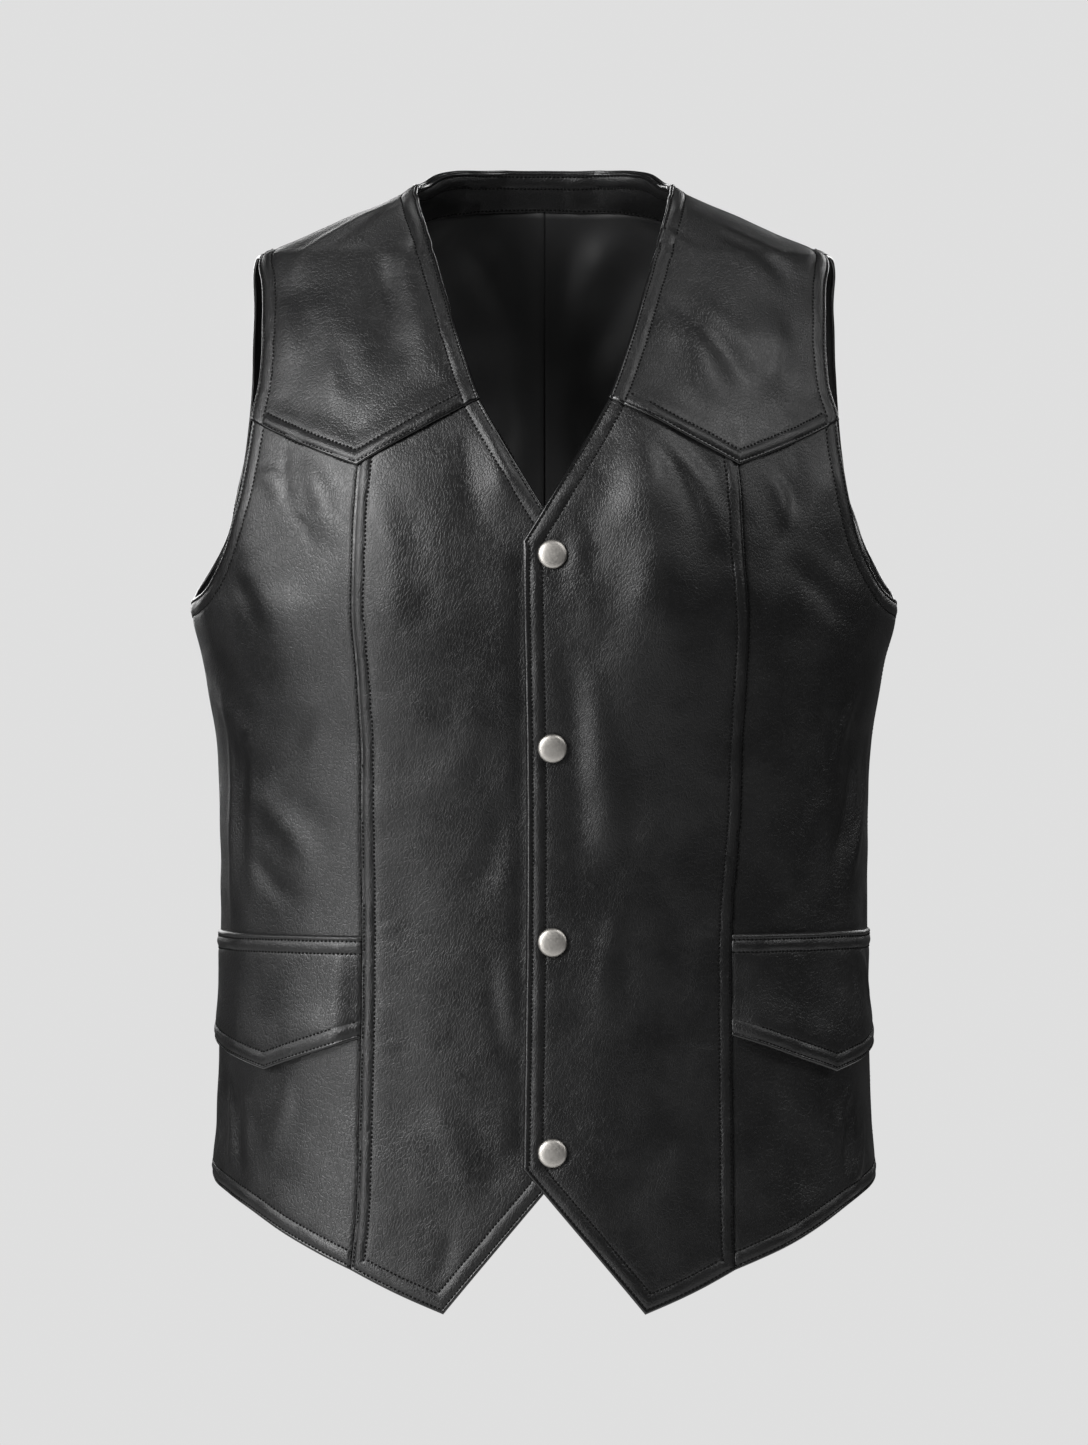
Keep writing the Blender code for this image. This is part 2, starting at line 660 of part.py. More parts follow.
def add_snap_cap(number, height, material, collection):
    """Turn a domed cap and seat it square on the overlapping front."""
    mesh = bpy.data.meshes.new(f"snap_cap_{number}")
    ring = [(row.radius_share * SNAP_RADIUS, 0.0, row.rise_share * SNAP_RISE) for row in CAP_PROFILE]
    mesh.from_pydata(ring, [(i, i + 1) for i in range(len(ring) - 1)], [])
    cap = add_object(mesh.name, mesh, material, collection)
    turn = cap.modifiers.new("turn", "SCREW")
    turn.steps = SNAP_SEGMENTS
    turn.render_steps = SNAP_SEGMENTS
    turn.use_merge_vertices = True
    turn.merge_threshold = 0.00001
    heights = (height - SNAP_RADIUS, height, height + SNAP_RADIUS)
    below, seat, above = surface(np.array([place_at(SNAP_OFFSET, level) for level in heights]))
    lean = math.atan2(above[1] - below[1], above[2] - below[2])
    stand_off = LAP_LIFT + TURNED_EDGE + SEAM_GAP
    cap.location = (SNAP_OFFSET, seat[1] - stand_off * math.cos(lean), height + stand_off * math.sin(lean))
    cap.rotation_euler = (math.pi / 2 - lean, 0.0, 0.0)


def main():
    for thing in list(bpy.data.objects):
        bpy.data.objects.remove(thing, do_unlink=True)
    collection = bpy.data.collections.new("biker_vest")
    bpy.context.scene.collection.children.link(collection)
    leather, lining, nickel = (make_material(name) for name in ("leather", "lining", "nickel"))
    for side in SIDES:
        add_yoke(side, leather, collection)
        add_centre_front(side, leather, collection)
        add_side_front(side, leather, collection)
        add_pocket_flap(side, leather, collection)
    add_back(leather, lining, collection)
    for number, height in enumerate(SNAP_HEIGHTS, start=1):
        add_snap_cap(number, height, nickel, collection)


main()
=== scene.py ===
"""The biker vest as it looks: leather panels with rolled, stitched edges and soft creases.

A place on the vest is given by its angle around the body, from 0 at the centre front to half a
turn at the centre back, and by its height. Sizes are in metres, +Z is up, the front faces -Y and
the wearer's left is +X.
"""

import math
from collections import namedtuple

import bpy
import numpy as np
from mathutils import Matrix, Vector
from mathutils.bvhtree import BVHTree
from mathutils.kdtree import KDTree


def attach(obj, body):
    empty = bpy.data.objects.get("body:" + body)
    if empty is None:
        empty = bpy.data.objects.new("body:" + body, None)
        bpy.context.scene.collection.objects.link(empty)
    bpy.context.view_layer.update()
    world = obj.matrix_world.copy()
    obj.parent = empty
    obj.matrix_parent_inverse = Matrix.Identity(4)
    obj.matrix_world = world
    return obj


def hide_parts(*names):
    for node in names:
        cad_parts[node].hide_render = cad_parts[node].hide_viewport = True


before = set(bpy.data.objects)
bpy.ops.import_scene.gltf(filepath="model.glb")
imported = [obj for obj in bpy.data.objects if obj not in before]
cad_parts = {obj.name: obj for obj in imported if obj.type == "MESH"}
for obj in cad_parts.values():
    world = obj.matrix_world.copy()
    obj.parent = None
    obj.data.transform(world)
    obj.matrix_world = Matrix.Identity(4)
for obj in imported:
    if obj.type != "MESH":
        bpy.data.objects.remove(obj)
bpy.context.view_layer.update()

# Leather, lining and seams
LEATHER = 0.0016
TURNED_EDGE = 0.0026
LINING = 0.0008
SEAM_GAP = 0.0003
LINING_GAP = 0.0005

# The body form: level sections of the outside, from the hem up to the back of the neck
FLATNESS = 2.6
MEAN_RADIUS = 0.165
Section = namedtuple("Section", "height half_width front_depth back_depth")
SECTIONS = (
    Section(-0.660, 0.1960, 0.121, 0.117),
    Section(-0.580, 0.1945, 0.119, 0.116),
    Section(-0.520, 0.1920, 0.117, 0.110),
    Section(-0.430, 0.1903, 0.117, 0.103),
    Section(-0.340, 0.1920, 0.123, 0.110),
    Section(-0.290, 0.1990, 0.128, 0.117),
    Section(-0.245, 0.2070, 0.131, 0.122),
    Section(-0.200, 0.2065, 0.128, 0.124),
    Section(-0.150, 0.2000, 0.118, 0.122),
    Section(-0.100, 0.1900, 0.098, 0.113),
    Section(-0.060, 0.1780, 0.073, 0.103),
    Section(-0.0435, 0.1695, 0.062, 0.097),
    Section(-0.038, 0.1580, 0.058, 0.095),
    Section(-0.020, 0.1190, 0.047, 0.088),
    Section(0.000, 0.0765, 0.030, 0.079),
    Section(0.008, 0.0740, 0.025, 0.075),
    Section(0.018, 0.0720, 0.020, 0.070),
)

# Soft folds of the whole shape: a line from top to bottom, angles in degrees
Fold = namedtuple("Fold", "top_angle top_height bottom_angle bottom_height half_width depth")
FOLDS = (
    Fold(72, -0.330, 66, -0.560, 0.020, 0.0030),
    Fold(46, -0.480, 50, -0.600, 0.018, -0.0018),
    Fold(58, -0.190, 40, -0.290, 0.020, -0.0018),
    Fold(-70, -0.350, -64, -0.450, 0.020, 0.0022),
    Fold(-56, -0.185, -44, -0.300, 0.018, 0.0022),
    Fold(-76, -0.490, -70, -0.590, 0.018, -0.0020),
    Fold(128, -0.250, 140, -0.420, 0.022, 0.0025),
    Fold(-126, -0.255, -142, -0.400, 0.022, 0.0025),
    Fold(152, -0.440, 146, -0.570, 0.022, -0.0020),
    Fold(-156, -0.460, -150, -0.570, 0.022, -0.0020),
)

# Creases of the leather: bowed lines from end to end, troughs below zero; degrees and millimetres
MILLIMETRE = 0.001
Crease = namedtuple("Crease", "angle height end_angle end_height half_width depth bow")
CREASE_ROWS = (
    (-66, -17, -53, -54, 7.4, 0.9, 3), (-36, -40, -25, -112, 11.4, -2.4, 4),
    (-29, -38, -19, -117, 10, 1.7, -3), (-56, -70, -48, -121, 8.6, 0.7, 2),
    (-40, -101, -36, -137, 5.7, 0.5, -2), (-38, -189, -55, -226, 4.6, -0.4, 4),
    (-47, -157, -44, -195, 3.4, -0.4, -3), (-42, -167, -36, -212, 7.4, 1, 3),
    (-53, -170, -47, -188, 6.8, 0.8, 2), (-45, -195, -39, -216, 2.9, -0.2, 2),
    (-59, -231, -52, -268, 6.8, -0.7, 3), (-75, -296, -56, -332, 8.6, 0.9, -4),
    (-43, -314, -59, -352, 7.4, -0.9, 4), (-60, -360, -43, -401, 9.1, 0.8, 5),
    (-63, -389, -47, -420, 6.8, -0.7, -3), (-71, -302, -72, -434, 5, 0.9, 3),
    (-64, -316, -65, -421, 5.5, -0.8, -2), (-74, -525, -70, -577, 4.8, 0.9, 2),
    (-67, -528, -64, -579, 5.2, -0.8, -2), (-49, -521, -57, -562, 6.8, 0.6, 3),
    (-10, -146, -6, -194, 5.1, 0.9, 3), (-13, -149, -9, -215, 6.3, -0.7, -3),
    (-26, -185, -24, -269, 6.8, 0.4, 3), (-20, -201, -17, -269, 8.6, -0.2, -4),
    (-30, -434, -25, -432, 2.9, 0.3, 1), (-30, -497, -25, -499, 2.9, 0.3, -1),
    (-12, -297, -18, -359, 9.1, 0.6, 5), (-7, -359, -13, -416, 6.8, -0.6, 4),
    (-9, -450, -5, -518, 5.1, -0.6, -3), (-20, -524, -12, -603, 8, 0.6, 4),
    (-16, -603, -18, -637, 4.6, -0.5, 1), (31, -42, 28, -20, 6.8, 0.8, 3),
    (43, -35, 53, -61, 8, -0.9, 4), (23, -72, 36, -125, 6.8, -0.8, 4),
    (28, -90, 32, -137, 9.1, 1, -3), (47, -83, 41, -128, 8, 0.7, 2),
    (14, -148, 9, -224, 10.3, 1.3, 5), (10, -224, 7, -269, 8, 0.8, -3),
    (5, -201, 4, -253, 5.1, 0.7, 2), (17, -155, 25, -212, 5.1, -0.8, 3),
    (22, -162, 28, -221, 5.7, 0.9, 4), (19, -224, 18, -303, 9.1, -0.8, -5),
    (8, -289, 7, -363, 7.4, 0.9, 3), (3, -269, 6, -410, 6.3, -0.8, 4),
    (16, -337, 9, -419, 6.8, -0.6, 5), (13, -419, 10, -490, 5.7, 0.6, -3),
    (23, -416, 21, -501, 8, -0.5, 4), (26, -530, 18, -603, 8, 0.6, 4),
    (32, -434, 27, -431, 2.9, 0.3, 1), (31, -497, 26, -499, 2.9, 0.3, -1),
    (38, -172, 42, -206, 5.1, 0.9, 2), (46, -161, 38, -226, 6.3, -0.8, 4),
    (41, -223, 60, -268, 8, -0.7, 4), (67, -297, 61, -341, 5.5, 1, -3),
    (78, -323, 65, -412, 5.8, 1.3, 4), (68, -330, 61, -402, 6.5, -1.1, 3),
    (80, -410, 78, -437, 5.5, 0.7, 1), (48, -303, 43, -377, 9.1, -0.7, 5),
    (48, -394, 60, -360, 7.4, 0.6, 4), (71, -449, 75, -484, 5, 0.9, 2),
    (67, -448, 67, -489, 5.5, -0.8, -1), (68, -522, 61, -563, 4.8, 1, -2),
    (74, -546, 67, -584, 4.8, 0.9, 2), (65, -527, 63, -582, 6, -1, 2),
    (45, -526, 49, -572, 7.4, 0.5, 3), (17, -130, 15, -310, 15, 3.7, 4),
    (13, -300, 12, -400, 10, 1.2, -3), (46, -78, 43, -132, 18, 1.4, -3),
    (148, 11, 158, 0, 12, 0.6, 3), (170, 9, 161, -2, 14, -0.6, 2),
    (-166, 10, -156, -1, 13, 0.6, 3), (-149, 9, -141, 1, 11, -0.5, -2),
    (100, -270, 108, -400, 7, 1.1, 4), (108, -300, 114, -430, 8, -1, -3),
    (112, -150, 124, -240, 7.5, -1, 4), (124, -130, 136, -220, 8.5, 1, 3),
    (135, -380, 122, -460, 8, 0.9, 5), (150, -400, 138, -490, 9, -1, -4),
    (166, -180, 158, -330, 10, 0.8, 6), (172, -420, 164, -540, 8.5, 0.8, -4),
    (104, -470, 110, -560, 6.5, 0.9, 3), (-98, -280, -106, -390, 7, -1, 3),
    (-106, -310, -113, -450, 7.5, 1.1, -4), (-114, -140, -126, -245, 8, 1, 4),
    (-128, -150, -138, -210, 7, -0.8, -3), (-132, -390, -120, -440, 8.5, -0.9, 4),
    (-148, -380, -136, -480, 9, 1, 5), (-160, -210, -168, -360, 10, -0.9, -5),
    (-170, -450, -160, -530, 8, 0.7, 3), (-102, -480, -108, -565, 6.5, -0.8, 2),
)
CREASES = tuple(Crease(*row) for row in CREASE_ROWS)
CREASE_GAIN = 1.6
CREASE_RIM = 0.35
CREASE_RIM_PLACE = 1.9
CREASE_WIDENING = 0.4
CREASE_RUN_OUT = 1.25
FOLD_RUN_OUT = 1.2

# Soft swells of the fronts over the chest: middle, half width, half height and rise
Swell = namedtuple("Swell", "angle height half_width half_height rise")
SWELLS = (
    Swell(25, -0.235, 0.036, 0.105, 0.0078),
    Swell(-24, -0.240, 0.034, 0.100, 0.0045),
)

# The low, uneven rise and fall of the leather between its creases
RIPPLES = 40
RIPPLE_LENGTHS = (0.022, 0.070)
RIPPLE_RISE = 0.00018
RIPPLE_SEED = 7

# Lines of the two fronts, seen from the front: distance from the centre at each height
Line = namedtuple("Line", "height right left")
NECK_EDGE = (
    Line(-0.006, 0.0750, 0.0740),
    Line(-0.012, 0.0733, 0.0723),
    Line(-0.020, 0.0711, 0.0704),
    Line(-0.030, 0.0679, 0.0678),
    Line(-0.045, 0.0635, 0.0639),
    Line(-0.060, 0.0591, 0.0597),
    Line(-0.095, 0.0488, 0.0495),
)
PRINCESS_SEAM = (
    Line(-0.600, 0.1076, 0.1083),
    Line(-0.530, 0.1054, 0.1077),
    Line(-0.435, 0.1038, 0.1075),
    Line(-0.360, 0.1044, 0.1120),
    Line(-0.285, 0.1063, 0.1143),
    Line(-0.225, 0.1082, 0.1125),
)
NECK_CORNER = Line(-0.1325, 0.0364, 0.0366)
YOKE_POINT = Line(-0.1705, 0.1055, 0.1092)
YOKE_ARMHOLE_END = Line(-0.1420, 0.1675, 0.1687)
PRINCESS_HEM_END = Line(-0.6270, 0.1104, 0.1091)
HEM_POINT = Line(-0.6510, 0.0573, 0.0573)
HEM_MIDDLE = Line(-0.6385, 0.0870, 0.0870)
SIDE_HEM_CURVE = (
    Line(-0.6125, 0.1415, 0.1450),
    Line(-0.5960, 0.1700, 0.1735),
)
SIDE_CORNER_HEIGHT = -0.5800
UNDERARM_HEIGHT = -0.2450

# The front closing: how far each front passes the centre line
LAP_REACH = 0.0120
V_CORNER_HEIGHT = -0.2135
CUTAWAY_HEIGHT = -0.5685
CLOSING_EDGE_BOW = 0.0020
LAP_LIFT = TURNED_EDGE + 2 * SEAM_GAP
LAP_FULL = 0.0150
LAP_GONE = 0.1000
LAP_TOP = -0.1500
LAP_TOP_FULL = -0.1900
UNDERLAP_DENT = 0.0015
UNDERLAP_DENT_WIDTH = 0.0065
UNDERLAP_FADE = 0.015

# Armholes, shoulders and back neck: distance from the centre at each height
Reach = namedtuple("Reach", "height reach")
FRONT_ARMHOLE_LOW = (
    Reach(-0.2330, 0.1925),
    Reach(-0.2160, 0.1838),
    Reach(-0.1900, 0.1763),
    Reach(-0.1640, 0.1712),
)
FRONT_ARMHOLE_HIGH = (
    Reach(-0.1180, 0.1645),
    Reach(-0.0900, 0.1636),
    Reach(-0.0620, 0.1645),
)
BACK_ARMHOLE = (
    Reach(-0.2305, 0.2020),
    Reach(-0.2060, 0.1913),
    Reach(-0.1816, 0.1844),
    Reach(-0.1400, 0.1778),
    Reach(-0.0980, 0.1743),
    Reach(-0.0635, 0.1726),
)
BACK_NECK = (
    Reach(0.0060, 0.0710),
    Reach(0.0115, 0.0650),
    Reach(0.0150, 0.0550),
    Reach(0.0165, 0.0350),
)
BACK_NECK_HEIGHT = 0.0170
SHOULDER_SEAM_ANGLE = math.pi / 2 - 0.20
SHOULDER_TIP_HEIGHT = -0.0435
SHOULDER_TIP_ROUND = 0.0008
FACING_HEIGHT = -0.0055
FACING_ROW_SHARE = 0.92
UNDERARM_ROW_AT_CENTRE = -0.3700
BACK_HEM_DROP = 0.0040
BACK_HEM_TURN = math.pi * 0.75
SHOULDER_SHARE = 0.42

# Pocket flaps: heights of the top and lower edge, and how far along the panel the point lies
Flap = namedtuple("Flap", "top inner_end outer_end point point_share")
FLAPS = {
    "right": Flap(-0.4370, -0.4955, -0.4965, -0.5150, 0.42),
    "left": Flap(-0.4360, -0.4940, -0.4970, -0.5165, 0.48),
}
FLAP_STAND_OFF = 0.0026
FLAP_FALL = 0.060
FLAP_INNER_END = 0.016
FLAP_OUTER_END = 0.036
FLAP_HELD = 0.0003

# Rows where the long seams are cut into stretches
NECK_ROW_DROP = 0.012
SEAM_ROW_HEIGHTS = (CUTAWAY_HEIGHT, V_CORNER_HEIGHT - NECK_ROW_DROP)
SIDE_ROW_HEIGHTS = (-0.5320, -0.2950, -0.2650)
SIDES = {"right": -1, "left": 1}

# How finely a panel is worked out before its final rows and columns are read from it
FINE = 96

# Grid lines beside a rolled edge and beside a plain one, and how far apart the others are
ROLLED_LINES = (
    *(0.0, 0.0001, 0.0003, 0.0007, 0.0012, 0.0017, 0.0022, 0.0027, 0.0033, 0.0040, 0.0050, 0.0062),
    *(0.0070, 0.0076, 0.0082, 0.0088, 0.0093, 0.0098, 0.0103, 0.0109, 0.0117, 0.0128, 0.0142, 0.0160),
)
PLAIN_LINES = (0.0, 0.0005, 0.0012, 0.0020, 0.0028, 0.0036, 0.0048)
HUNG_LINES = (0.009, 0.0095, 0.0105, 0.0120, 0.0140)
LINES_SHARE = 0.45
LEAST_SLANT = 0.5
NO_LENGTH = 1e-12
FRONT_SPACING = 0.0023
FLAP_SPACING = 0.0020
BACK_SPACING = 0.0042
LINING_SPACING = 0.0052

# Edges: the distances of their stitch rows, and whether the leather is rolled there
Kind = namedtuple("Kind", "rows rolled")
KINDS = {
    "turned": Kind((0.0022, 0.0096), True),
    "placket": Kind((0.0036, 0.0106), True),
    "lapped": Kind((0.0017, 0.0078), True),
    "flap_top": Kind((0.0030, 0.0100), True),
    "faced": Kind((0.0016,), False),
    "topstitched": Kind((0.0028,), False),
    "caught": Kind((), False),
    "tucked": Kind((), False),
}
RUBBED = ("turned", "placket", "lapped")
Band = namedtuple("Band", "edge first last kind through", defaults=(False,))

# How the leather rises and sinks beside its edges and stitch rows
ROLL = 0.0022
ROLL_LEFT = 0.10
BEAD = 0.00040
PUFF_FADE = 0.0220
PUFF_UNEVEN = 0.15
GROOVE = 0.00016
GROOVE_WIDTH = 0.0007
VALLEY = 0.00028
VALLEY_WIDTH = 0.0024
VALLEY_LEAST = 0.8
VALLEY_UNEVEN = 0.4
BAND_PUFF = 0.00050
BAND_UNEVEN = 0.00022
SEAM_DIP = 0.0007
SEAM_DIP_WIDTH = 0.0016
TUCK = 0.0004
TUCK_UNDER = 0.0080
TURN_UNDER = 0.0150
EDGE_GLOSS_WIDTH = 0.0034
YOKE_STAND = 0.0020
YOKE_STAND_FADE = 0.022
UNEVEN_LENGTHS = (0.017, 0.029, 0.047)

# Stitches
STITCH_PITCH = 0.0025
STITCH_LENGTH = 0.0017
STITCH_WIDTH = 0.0014
STITCH_THICKNESS = 0.0008
STITCH_RISE = 0.00005
STITCH_SIDES = 6
STITCH_RINGS = ((-0.72, 0.80), (0.0, 1.0), (0.72, 0.80))
STITCH_TURN = 0.07
STITCH_LENGTH_SHARES = (0.93, 1.05)
STITCH_ROW_LEEWAY = 0.985
SHORTEST_ROW = 4
STITCH_SEED = 11
LINE_STEP = 0.0005

# Back lining
LINING_FULL = 0.0014
LINING_WAVE = 0.0028
LINING_WAVE_LENGTHS = (0.040, 0.090)
LINING_WAVE_SEED = 3
LINING_FADE = 0.035
LINING_LAP = 0.0005
LINING_LAP_WIDTH = 0.006

# Snap caps: rings from the top of the dome to the foot, as shares of radius and rise
SNAP_HEIGHTS = (-0.2210, -0.3295, -0.4400, -0.5595)
SNAP_OFFSET = 0.0048
SNAP_RADIUS = 0.0082
SNAP_RISE = 0.0033
SNAP_SEGMENTS = 56
SNAP_PRESS = 0.0005
SNAP_PRESS_WIDTH = 0.0030
CAP_RINGS = (
    *((0.0, 1.0), (0.15, 0.995), (0.30, 0.98), (0.45, 0.955), (0.58, 0.92), (0.70, 0.87), (0.79, 0.81)),
    *((0.86, 0.74), (0.92, 0.64), (0.965, 0.51), (0.99, 0.37), (1.0, 0.24), (0.985, 0.12), (0.94, 0.04)),
    *((0.86, 0.0), (0.0, 0.0)),
)

# Grain of the leather: cells a metre, shares of height, and how strongly it shows
GRAIN_DRIFT_SCALE = 150.0
GRAIN_DRIFT = 0.004
GRAIN_SLANT = 0.3
GRAIN_LENGTH = 1.9
PEBBLE_SCALE = 640.0
PEBBLE_RIM = 0.20
PEBBLE_WEIGHT = 0.55
WRINKLE_SCALE = 230.0
WRINKLE_RIM = 0.07
WRINKLE_WEIGHTS = (0.05, 0.45)
PORE_SCALE = 1900.0
PORE_WEIGHT = 0.5
CLOUD_SCALE = 26.0
GRAIN_HEIGHT = 0.0004
GRAIN_STRENGTH = 0.38
EDGE_GRAIN_STRENGTH = 0.10
LEATHER_ROUGHNESS = (0.35, 0.47)
EDGE_ROUGHNESS_SHARE = 0.56
WEAVE_HEIGHT = 0.0001

# The photo's view and the studio
PICTURE_SCALE = 0.00059
PICTURE_SIZE = (1088, 1445)
CAMERA_PLACE = (0.0, -3.0, -0.3154)
SENSOR = 36.0
FLOOR_HEIGHT = -1.05
FLOOR_RADIUS = 1.60
FLOOR_SIDES = 96
BACKGROUND = 0.74
AMBIENT = 0.04
Lamp = namedtuple("Lamp", "name place aim width height power")
LAMPS = (
    Lamp("key", (-1.85, -1.85, 0.80), (0.0, 0.0, -0.30), 1.2, 1.4, 84.0),
    Lamp("low_left", (-1.90, -1.90, -0.85), (0.0, 0.0, -0.30), 0.9, 0.6, 15.0),
    Lamp("left_side", (-2.70, -0.25, 0.60), (0.0, 0.0, -0.30), 0.9, 0.9, 13.0),
    Lamp("top_right", (1.40, -1.40, 1.70), (0.0, 0.0, -0.30), 0.9, 0.9, 20.0),
    Lamp("above", (-0.30, 0.60, 2.40), (0.0, 0.0, -0.05), 1.0, 1.0, 10.0),
    Lamp("right_edge", (2.50, -0.25, 0.85), (0.0, 0.0, -0.30), 0.9, 0.9, 11.0),
    Lamp("behind", (-0.9, 2.7, 0.5), (0.0, 0.0, -0.3), 1.6, 1.6, 32.0),
    Lamp("behind_right", (1.5, 2.4, 0.9), (0.0, 0.0, -0.3), 1.2, 1.2, 24.0),
)


def cubic(t, span, low, high, low_slope, high_slope):
    """Read a smooth curve between two values with the given slopes at its ends."""
    start = (1 + 2 * t) * (1 - t) ** 2 * low + t * (1 - t) ** 2 * span * low_slope
    end = t * t * (3 - 2 * t) * high + t * t * (t - 1) * span * high_slope
    return start + end


def read_columns(at, places, table):
    """Read each column of a table at the given places."""
    return np.stack([np.interp(at, places, column) for column in table.T], axis=-1)


def smooth_read(places, values, at):
    """Read a smooth curve through the values, with no overshoot between them."""
    places = np.asarray(places, float)
    values = np.asarray(values, float)
    spans = np.diff(places)
    slopes = np.diff(values) / spans
    tangents = np.concatenate([slopes[:1], np.zeros(len(slopes) - 1), slopes[-1:]])
    same_way = slopes[:-1] * slopes[1:] > 0
    total = np.where(same_way, slopes[:-1] + slopes[1:], 1.0)
    tangents[1:-1] = np.where(same_way, 2 * slopes[:-1] * slopes[1:] / total, 0.0)
    at = np.clip(at, places[0], places[-1])
    i = np.clip(np.searchsorted(places, at) - 1, 0, len(spans) - 1)
    t = (at - places[i]) / spans[i]
    return cubic(t, spans[i], values[i], values[i + 1], tangents[i], tangents[i + 1])


def section_size(name, height):
    heights = [row.height for row in SECTIONS]
    return smooth_read(heights, [getattr(row, name) for row in SECTIONS], height)


def ease(share):
    share = np.clip(share, 0.0, 1.0)
    return share * share * (3 - 2 * share)


def bell(share):
    return np.exp(-(share**2))


def unit(vectors):
    return vectors / np.linalg.norm(vectors, axis=-1, keepdims=True)


def unrolled(angle, height):
    """Lay places out flat, with the angle as a distance from the centre front."""
    turned = (angle + math.pi) % (2 * math.pi) - math.pi
    return np.stack([turned * MEAN_RADIUS, height], axis=-1)


def flat_place(degrees, height):
    return np.array([math.radians(degrees) * MEAN_RADIUS, height])


def fold_push(angle, height):
    """Sum the folds' push outwards at each place."""
    push = np.zeros_like(angle)
    place = unrolled(angle, height)
    for fold in FOLDS:
        start = flat_place(fold.top_angle, fold.top_height)
        end = flat_place(fold.bottom_angle, fold.bottom_height)
        run = end - start
        share = np.clip((place - start) @ run / (run @ run), 0.0, 1.0)
        gap = np.linalg.norm(place - start - share[..., None] * run, axis=-1)
        fade = ease(FOLD_RUN_OUT - np.abs(2 * share - 1))
        push += fold.depth * fade * bell(gap / fold.half_width)
    return push


def crease_push(angle, height):
    """Sum the push outwards of the swells and the creases; each crease has a low rim on one side."""
    push = np.zeros_like(angle)
    place = unrolled(angle, height)
    for swell in SWELLS:
        middle = flat_place(swell.angle, swell.height)
        away = (place - middle) / (swell.half_width, swell.half_height)
        push += swell.rise * np.exp(-(away**2).sum(axis=-1))
    for crease in CREASES:
        start = flat_place(crease.angle, crease.height * MILLIMETRE)
        end = flat_place(crease.end_angle, crease.end_height * MILLIMETRE)
        length = np.linalg.norm(end - start)
        along = (end - start) / length
        across = np.array([-along[1], along[0]])
        share = (place - start) @ along / length
        bowed = crease.bow * MILLIMETRE * 4 * share * (1 - share)
        widening = 1 + CREASE_WIDENING * (np.clip(share, 0.0, 1.0) - 0.5)
        gap = ((place - start) @ across - bowed) / (crease.half_width * MILLIMETRE * widening)
        fade = ease(CREASE_RUN_OUT - np.abs(2 * share - 1))
        shape = bell(gap) - CREASE_RIM * bell(gap - CREASE_RIM_PLACE)
        push += CREASE_GAIN * crease.depth * MILLIMETRE * fade * shape
    return push


def waves(points, lengths, seed):
    """Give a smooth, uneven rise between about -1 and 1 at each point."""
    chance = np.random.default_rng(seed)
    rise = np.zeros(points.shape[:-1])
    for _ in range(RIPPLES):
        way = chance.normal(size=3)
        turn = 2 * math.pi / chance.uniform(*lengths)
        phase = chance.uniform(0.0, 2 * math.pi)
        rise += np.sin(points @ (way / np.linalg.norm(way)) * turn + phase)
    return rise / math.sqrt(RIPPLES / 2)


def surface(place):
    """Turn places (angle, height) into points on the inside of the leather."""
    angle = place[..., 0]
    height = place[..., 1]
    half_width = section_size("half_width", height)
    ahead = np.cos(angle) > 0
    depth = np.where(ahead, section_size("front_depth", height), section_size("back_depth", height))
    across = np.sin(angle)
    along = np.sqrt(np.clip(1 - np.abs(across) ** FLATNESS, 0.0, 1.0)) * np.where(ahead, -1, 1)
    push = fold_push(angle, height)
    outward = unit(np.stack([across / half_width, along / depth], axis=-1))
    x = half_width * across + (push - LEATHER) * outward[..., 0]
    y = depth * along + (push - LEATHER) * outward[..., 1]
    return np.stack([x, y, height], axis=-1)


def place_at(reach, height, behind=False):
    """Give the place that lies at this distance from the centre, seen from the front."""
    angle = math.asin(min(1.0, max(-1.0, reach / section_size("half_width", height))))
    return (math.pi - angle if behind else angle, height)


def front_places(lines, side):
    return [place_at(getattr(line, side), line.height) for line in lines]


def reach_places(rows, behind=False):
    return [place_at(row.reach, row.height, behind) for row in rows]


def curve_through(places):
    """Run a smooth curve through the places and read it at even steps."""
    places = np.array(places, float)
    scaled = places * (MEAN_RADIUS, 1.0)
    lengths = run_lengths(scaled)
    if len(places) > 2:
        tangents = np.gradient(places, lengths, axis=0)
    else:
        tangents = np.repeat((places[1:] - places[:1]) / lengths[-1], 2, axis=0)
    at = np.linspace(0.0, lengths[-1], FINE * 2)
    i = np.clip(np.searchsorted(lengths, at) - 1, 0, len(places) - 2)
    span = (lengths[i + 1] - lengths[i])[:, None]
    t = (at - lengths[i])[:, None] / span
    return cubic(t, span, places[i], places[i + 1], tangents[i], tangents[i + 1])


def run_lengths(points):
    """Give the distance along a line of points, from its start."""
    return np.concatenate([[0.0], np.cumsum(np.linalg.norm(np.diff(points, axis=0), axis=1))])


def read_evenly(curve, count):
    """Read a curve at even distances over the vest's surface."""
    lengths = run_lengths(surface(curve))
    at = np.linspace(0.0, lengths[-1], count)
    return read_columns(at, lengths, curve)


def chain(*curves):
    """Join curves end to end, each with the same number of steps."""
    steps = [read_evenly(curve, FINE + 1) for curve in curves]
    return np.concatenate([steps[0]] + [part[1:] for part in steps[1:]])


def split_seam(curve, heights):
    """Cut a rising seam at the given heights and give each stretch the same number of steps."""
    cuts = [curve[0, 1], *heights, curve[-1, 1]]
    stretches = []
    for low, high in zip(cuts[:-1], cuts[1:]):
        at = np.linspace(low, high, FINE * 2)
        stretches.append(np.stack([np.interp(at, curve[:, 1], curve[:, 0]), at], axis=-1))
    return chain(*stretches)


def cut_curve(curve, share):
    """Cut a curve in two at a share of its length."""
    even = read_evenly(curve, FINE * 4 + 1)
    cut = int(round(share * FINE * 4))
    return even[: cut + 1], even[cut:]


